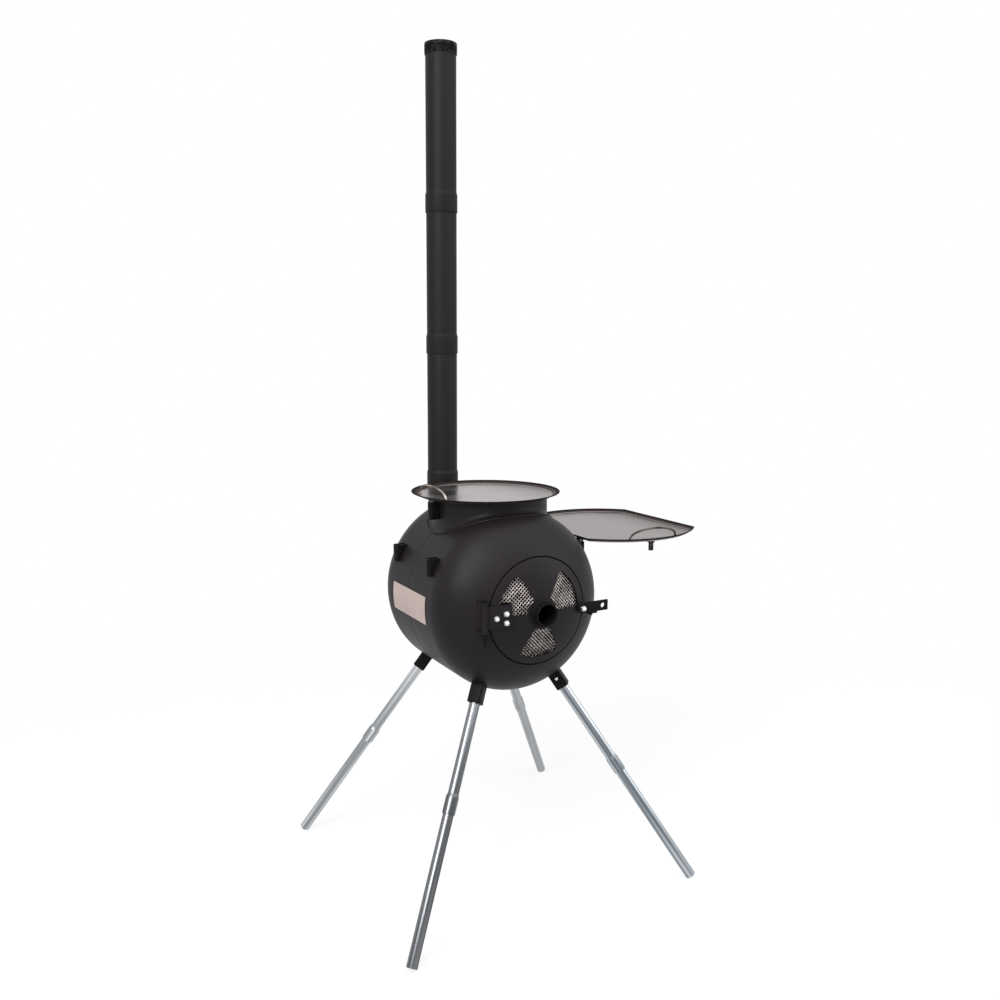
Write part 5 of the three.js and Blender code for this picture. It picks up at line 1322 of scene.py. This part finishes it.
# %% Ledge
LEDGE_START_X = 112
LEDGE_END_X = 126
LEDGE_SHEET = 3
LEDGE_WEB = 6
ledge_top = LATCH_HEIGHT - BAR_HALF - GAP
ledge_front = BAR_BACK - BAR_THICKNESS
shelf = block((LEDGE_START_X, ledge_front, ledge_top - LEDGE_SHEET),
              (LEDGE_END_X, -HALF_BARREL, ledge_top))
heel = block((LEDGE_START_X, ledge_front, ledge_top - LEDGE_WEB),
             (LEDGE_START_X + LEDGE_SHEET, -HALF_BARREL, ledge_top - LEDGE_SHEET))
ledge = together(cut(shelf, envelope(GAP)), cut(heel, envelope(GAP)))
add_piece("latch_shelf", ledge, "stove", body_paint, ["latch_ledge"])

# %% [markdown]
# ## Legs
# Each leg is an upper tube with a swaged end and a lower tube pushed into it, in a square socket on the
# body. A leg's own frame has its origin at the socket's mouth and Z up the leg, so all four share one
# drawing. The streaks that drawing leaves in the zinc run along that Z too.

# %% Leg dimensions
MOUTH = (98, 122, 383)
FOOT = (305.5, 282)
LEG_RADIUS = 10
LEG_BORE = 8.5
SOCKET_SIDE = 25
SOCKET_CORNER = 4
SOCKET_LENGTH = 46
SOCKET_DEPTH = 32.5
SWAGE_START = 166.5
SWAGE_LENGTH = 36
SWAGE_SHOULDER = 6
SWAGE_WALL = 1.6
SWAGE_BORE = LEG_RADIUS + GAP
SWAGE_RADIUS = SWAGE_BORE + SWAGE_WALL
leg_run = math.hypot(FOOT[0] - MOUTH[0], FOOT[1] - MOUTH[1])
leg_tilt = math.atan2(leg_run, MOUTH[2])
leg_reach = (MOUTH[2] - LEG_RADIUS * math.sin(leg_tilt)) / math.cos(leg_tilt)


def leg_frame(side_sign, end_sign):
    """The leg's own frame: its origin at the socket's mouth, Z up the leg."""
    mouth = Vector((side_sign * MOUTH[0], end_sign * MOUTH[1], MOUTH[2]))
    foot = Vector((side_sign * FOOT[0], end_sign * FOOT[1], 0))
    up = (mouth - foot).normalized()
    run = Vector((foot.x - mouth.x, foot.y - mouth.y, 0))
    tangent = Vector((0, 0, 1)).cross(run).normalized()
    turn = Matrix((tangent.cross(up), tangent, up)).transposed().to_4x4()
    return Matrix.Translation(mouth) @ turn


print("leg length below its socket:", round(leg_reach), "mm, tilt", round(math.degrees(leg_tilt)), "degrees")

# %% [markdown]
# Each socket is a block of square bar, bored for the leg and trimmed to the dome that it is welded to. A
# slotted screw in its side holds the leg. The upper tube's end is swaged, pressed wider over a mandrel,
# so that the lower tube pushes into it.

# %% Sections of tube, socket and screw
SCREW_HEIGHT = 22
SCREW_RADIUS = 1.7
SCREW_HOLE = 2
SCREW_HEAD_RADIUS = 3.2
SCREW_HEAD_HEIGHT = 2
SCREW_CROWN = 1.6
SCREW_SLOT_HALF = 0.45
upper_section = eased([
    (LEG_RADIUS, SOCKET_DEPTH - GAP), (LEG_BORE, SOCKET_DEPTH - GAP), (LEG_BORE, -SWAGE_START),
    (SWAGE_BORE, -SWAGE_START - SWAGE_SHOULDER), (SWAGE_BORE, -SWAGE_START - SWAGE_LENGTH),
    (SWAGE_RADIUS, -SWAGE_START - SWAGE_LENGTH), (SWAGE_RADIUS, -SWAGE_START - SWAGE_SHOULDER),
    (LEG_RADIUS, -SWAGE_START),
], 3, least_turn=8)
half_side = SOCKET_SIDE / 2
square = [(-half_side, -half_side), (half_side, -half_side), (half_side, half_side),
          (-half_side, half_side)]
socket_outline = eased(square, SOCKET_CORNER, steps=6)
head_seat = half_side + GAP
head_top = head_seat + SCREW_HEAD_HEIGHT
screw_section = eased([
    (0, LEG_RADIUS + GAP), (SCREW_RADIUS, LEG_RADIUS + GAP), (SCREW_RADIUS, head_seat),
    (SCREW_HEAD_RADIUS, head_seat), (3, head_seat + 1.2), (SCREW_CROWN, head_top), (0, head_top),
], 0.5, closed=False)
print("swage", 2 * SWAGE_RADIUS, "mm across, tube", 2 * LEG_RADIUS, "mm")

# %% [markdown]
# The four legs are one zinc, toned leg by leg to how brightly each is lit, which is painted light and shade:
# the front left leg is painted darker, and the rear right leg, furthest back, an even pale grey like haze.
# So each has its own two tones and its own roughness.

# %% Zinc of each leg
ZINC_BAND = 7
# Painted light and shade: each leg's tones are set to how it is lit.
zinc_with_painted_light_of_leg = {  # dull tone, bright tone, least and most roughness
    "front_left": ("#515356", "#808286", 0.28, 0.38),
    "front_right": ("#6e757c", "#c4cace", 0.2, 0.34),
    "rear_left": ("#8a8e92", "#d5d8dc", 0.24, 0.38),
    "rear_right": ("#a0a3a6", "#b8babd", 0.45, 0.55),
}

# %% Four legs
for end, end_sign in (("front", -1), ("rear", 1)):
    for side, side_sign in (("left", -1), ("right", 1)):
        leg = f"{end}_{side}"
        place = leg_frame(side_sign, end_sign)
        facing = place @ Matrix.Translation((0, 0, SCREW_HEIGHT)) @ FACING_FRONT
        socket = cut(cut_flat(socket_outline, SOCKET_LENGTH, 0.8, place),
                     rod(LEG_RADIUS + GAP, -SOCKET_DEPTH, SOCKET_DEPTH, 48, place),
                     rod(SCREW_HOLE, 0, SOCKET_SIDE, 20, facing), envelope(GAP))
        add_piece(f"square_socket_{leg}", socket, "stove", fitting_paint,
                  [f"leg_socket_{leg}"])
        screw = turned(screw_section, 24, facing)
        slot = block((-5, -SCREW_SLOT_HALF, head_seat + 1), (5, SCREW_SLOT_HALF, head_seat + 4))
        slot.transform(facing)
        add_piece(f"socket_screw_{leg}", cut(screw, slot), "stove", zinc_nut,
                  [f"leg_screw_{leg}"])
        zinc_tube = plated(f"zinc_plated_tube_{leg}", *zinc_with_painted_light_of_leg[leg], ZINC_BAND * MM, TO_FRAME @ place)
        add_piece(f"upper_tube_{leg}", turned(upper_section, 48, place), f"upper_leg_{leg}",
                  zinc_tube, [f"leg_upper_{leg}"])
        lower = tube(LEG_RADIUS, LEG_BORE, -leg_reach, -SWAGE_START - SWAGE_SHOULDER - GAP, 0.5, 48, place)
        add_piece(f"lower_tube_{leg}", lower, f"lower_leg_{leg}", zinc_tube,
                  [f"leg_lower_{leg}"])

# %% [markdown]
# ## Blank plate
# A thin foil plate is glued to the left side of the body and follows its curve. It is the part of a thin
# sleeve round the body that lies inside a rounded rectangle.

# %% Blank plate
FOIL_HALF = 71.5
FOIL_BOTTOM = 531
FOIL_TOP = 584
FOIL_CORNER = 2.5
FOIL_THICKNESS = 0.8
SLEEVE_HALF = 76
SLEEVE_STEP = 4
lengths = range(-SLEEVE_HALF, SLEEVE_HALF + 1, SLEEVE_STEP)
sleeve = [(BODY_RADIUS + GAP, y) for y in lengths]
sleeve += [(BODY_RADIUS + GAP + FOIL_THICKNESS, y) for y in reversed(lengths)]
foil_outline = eased([(-FOIL_HALF, FOIL_BOTTOM), (FOIL_HALF, FOIL_BOTTOM), (FOIL_HALF, FOIL_TOP),
                      (-FOIL_HALF, FOIL_TOP)], FOIL_CORNER, steps=5)
facing_left = Matrix.Rotation(-QUARTER_TURN, 4, "Z") @ FACING_FRONT
foil_cutter = cut_flat(foil_outline, CUTTER_REACH, 0.01, facing_left)
foil = cut(turned(sleeve, 180, ALONG_Y), foil_cutter, how="INTERSECT")
add_piece("blank_foil", foil, "stove", blank_foil, ["blank_plate"])

# %% [markdown]
# ## A solid that stays
# The fire grate already has its true shape, so it keeps its solid and only gets a finish: it is scaled,
# heat-blackened steel.

# %% Finish for the solid that stays
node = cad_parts["fire_grate"]
node.data.materials.clear()
node.data.materials.append(dark_wire)
node.data.polygons.foreach_set("material_index", [0] * len(node.data.polygons))
print("pieces:", len(pieces))

# %% [markdown]
# ## Floor, light and background
# The photograph is a cut-out on white. A pale floor keeps a faint shadow near the stove and fades into
# the white of the background further out, so that no horizon shows. The light path tells rays that show
# the background, from the camera or mirrored in metal and paint, from rays that light the stove. The
# first find plain white. The second find a bright backdrop and a dimmer room on the other sides, which
# keeps the paint black and the plates bright.

# %% Rays that show the background
def background_rays(tree):
    """1 for rays from the camera, mirrored in metal and paint, or sent on through glass, else 0."""
    path = add_node(tree, "LightPath")
    mirrored = add_node(tree, "Math", {"operation": "MAXIMUM"}, {
        0: path.outputs["Is Camera Ray"], 1: path.outputs["Is Glossy Ray"]})
    return add_node(tree, "Math", {"operation": "MAXIMUM"}, {
        0: mirrored.outputs[0], 1: path.outputs["Is Transmission Ray"]}).outputs[0]


# %% Floor
FLOOR_HALF = 30
floor_mesh = bpy.data.meshes.new("studio_floor")
floor_mesh.from_pydata([(-FLOOR_HALF, -FLOOR_HALF, 0), (FLOOR_HALF, -FLOOR_HALF, 0),
                        (FLOOR_HALF, FLOOR_HALF, 0), (-FLOOR_HALF, FLOOR_HALF, 0)], [], [(0, 1, 2, 3)])
floor = bpy.data.objects.new("studio_floor", floor_mesh)
bpy.context.scene.collection.objects.link(floor)

floor_paint, tree, shader, place = new_material("pale_studio_floor")
shader.inputs["Roughness"].default_value = 1
shader.inputs["Specular IOR Level"].default_value = 0
distance = add_node(tree, "VectorMath", {"operation": "LENGTH"}, {0: place}).outputs["Value"]
fade = add_node(tree, "MapRange", {"interpolation_type": "SMOOTHSTEP"}, {
    "Value": distance, "From Min": 0.5, "From Max": 2, "To Min": 0.8, "To Max": 1})
seen = background_rays(tree)
paint = add_node(tree, "Mix", {"data_type": "RGBA"}, {0: seen, 6: linear("#b4b4b4"), 7: linear("#f2f2f2")})
tree.links.new(paint.outputs[2], shader.inputs["Base Color"])
share = add_node(tree, "Math", {"operation": "MULTIPLY"}, {0: seen, 1: fade.outputs[0]})
white = add_node(tree, "Emission", inputs={"Color": (1, 1, 1, 1), "Strength": 1})
mixed = add_node(tree, "MixShader", inputs={0: share.outputs[0], 1: shader.outputs[0], 2: white.outputs[0]})
tree.links.new(mixed.outputs[0], tree.nodes["Material Output"].inputs["Surface"])
floor_mesh.materials.append(floor_paint)
print("floor", 2 * FLOOR_HALF, "m across")

# %% World
BACKDROP_LIGHT = 1
ROOM_LIGHT = 0.36
world = bpy.data.worlds.new("white_studio")
bpy.context.scene.world = world
world.use_nodes = True
tree = world.node_tree
heading = add_node(tree, "TexCoord").outputs["Generated"]
towards = add_node(tree, "VectorMath", {"operation": "DOT_PRODUCT"}, {
    0: heading, 1: (math.sin(CAMERA_YAW), math.cos(CAMERA_YAW), 0)}).outputs["Value"]
studio = add_node(tree, "MapRange", {"interpolation_type": "SMOOTHSTEP"}, {
    "Value": towards, "From Min": 0.35, "From Max": 0.9, "To Min": ROOM_LIGHT, "To Max": BACKDROP_LIGHT})
seen = background_rays(tree)
strength = add_node(tree, "Mix", inputs={0: seen, 2: studio.outputs[0], 3: BACKDROP_LIGHT})
background = tree.nodes["Background"]
background.inputs["Color"].default_value = (1, 1, 1, 1)
tree.links.new(strength.outputs[0], background.inputs["Strength"])
print("backdrop", BACKDROP_LIGHT, "room", ROOM_LIGHT)

# %% [markdown]
# Three large softboxes give the broad, soft highlights of the photograph: a bright one at the left, a
# weak one at the right that fills the shadows, and one overhead that lights the plates.

# %% Lamps
LAMP_AIM = Vector((0, 0, 0.6))


def softbox(name, place, width, height, power):
    """A rectangular lamp, in metres and watts, turned towards the stove."""
    lamp = bpy.data.lights.new(name, "AREA")
    lamp.shape = "RECTANGLE"
    lamp.size = width
    lamp.size_y = height
    lamp.energy = power
    holder = bpy.data.objects.new(name, lamp)
    bpy.context.scene.collection.objects.link(holder)
    holder.location = place
    holder.rotation_euler = (LAMP_AIM - Vector(place)).to_track_quat("-Z", "Y").to_euler()
    print(name, power, "W")


softbox("left_softbox", (-2.15, -1.25, 2.3), width=1.4, height=2.0, power=82)
softbox("right_softbox", (2.3, -1.9, 1.7), width=2.0, height=2.0, power=28)
softbox("top_softbox", (0.1, -1.2, 3.2), width=4.4, height=3.4, power=88)
bpy.context.scene.view_settings.view_transform = "Standard"
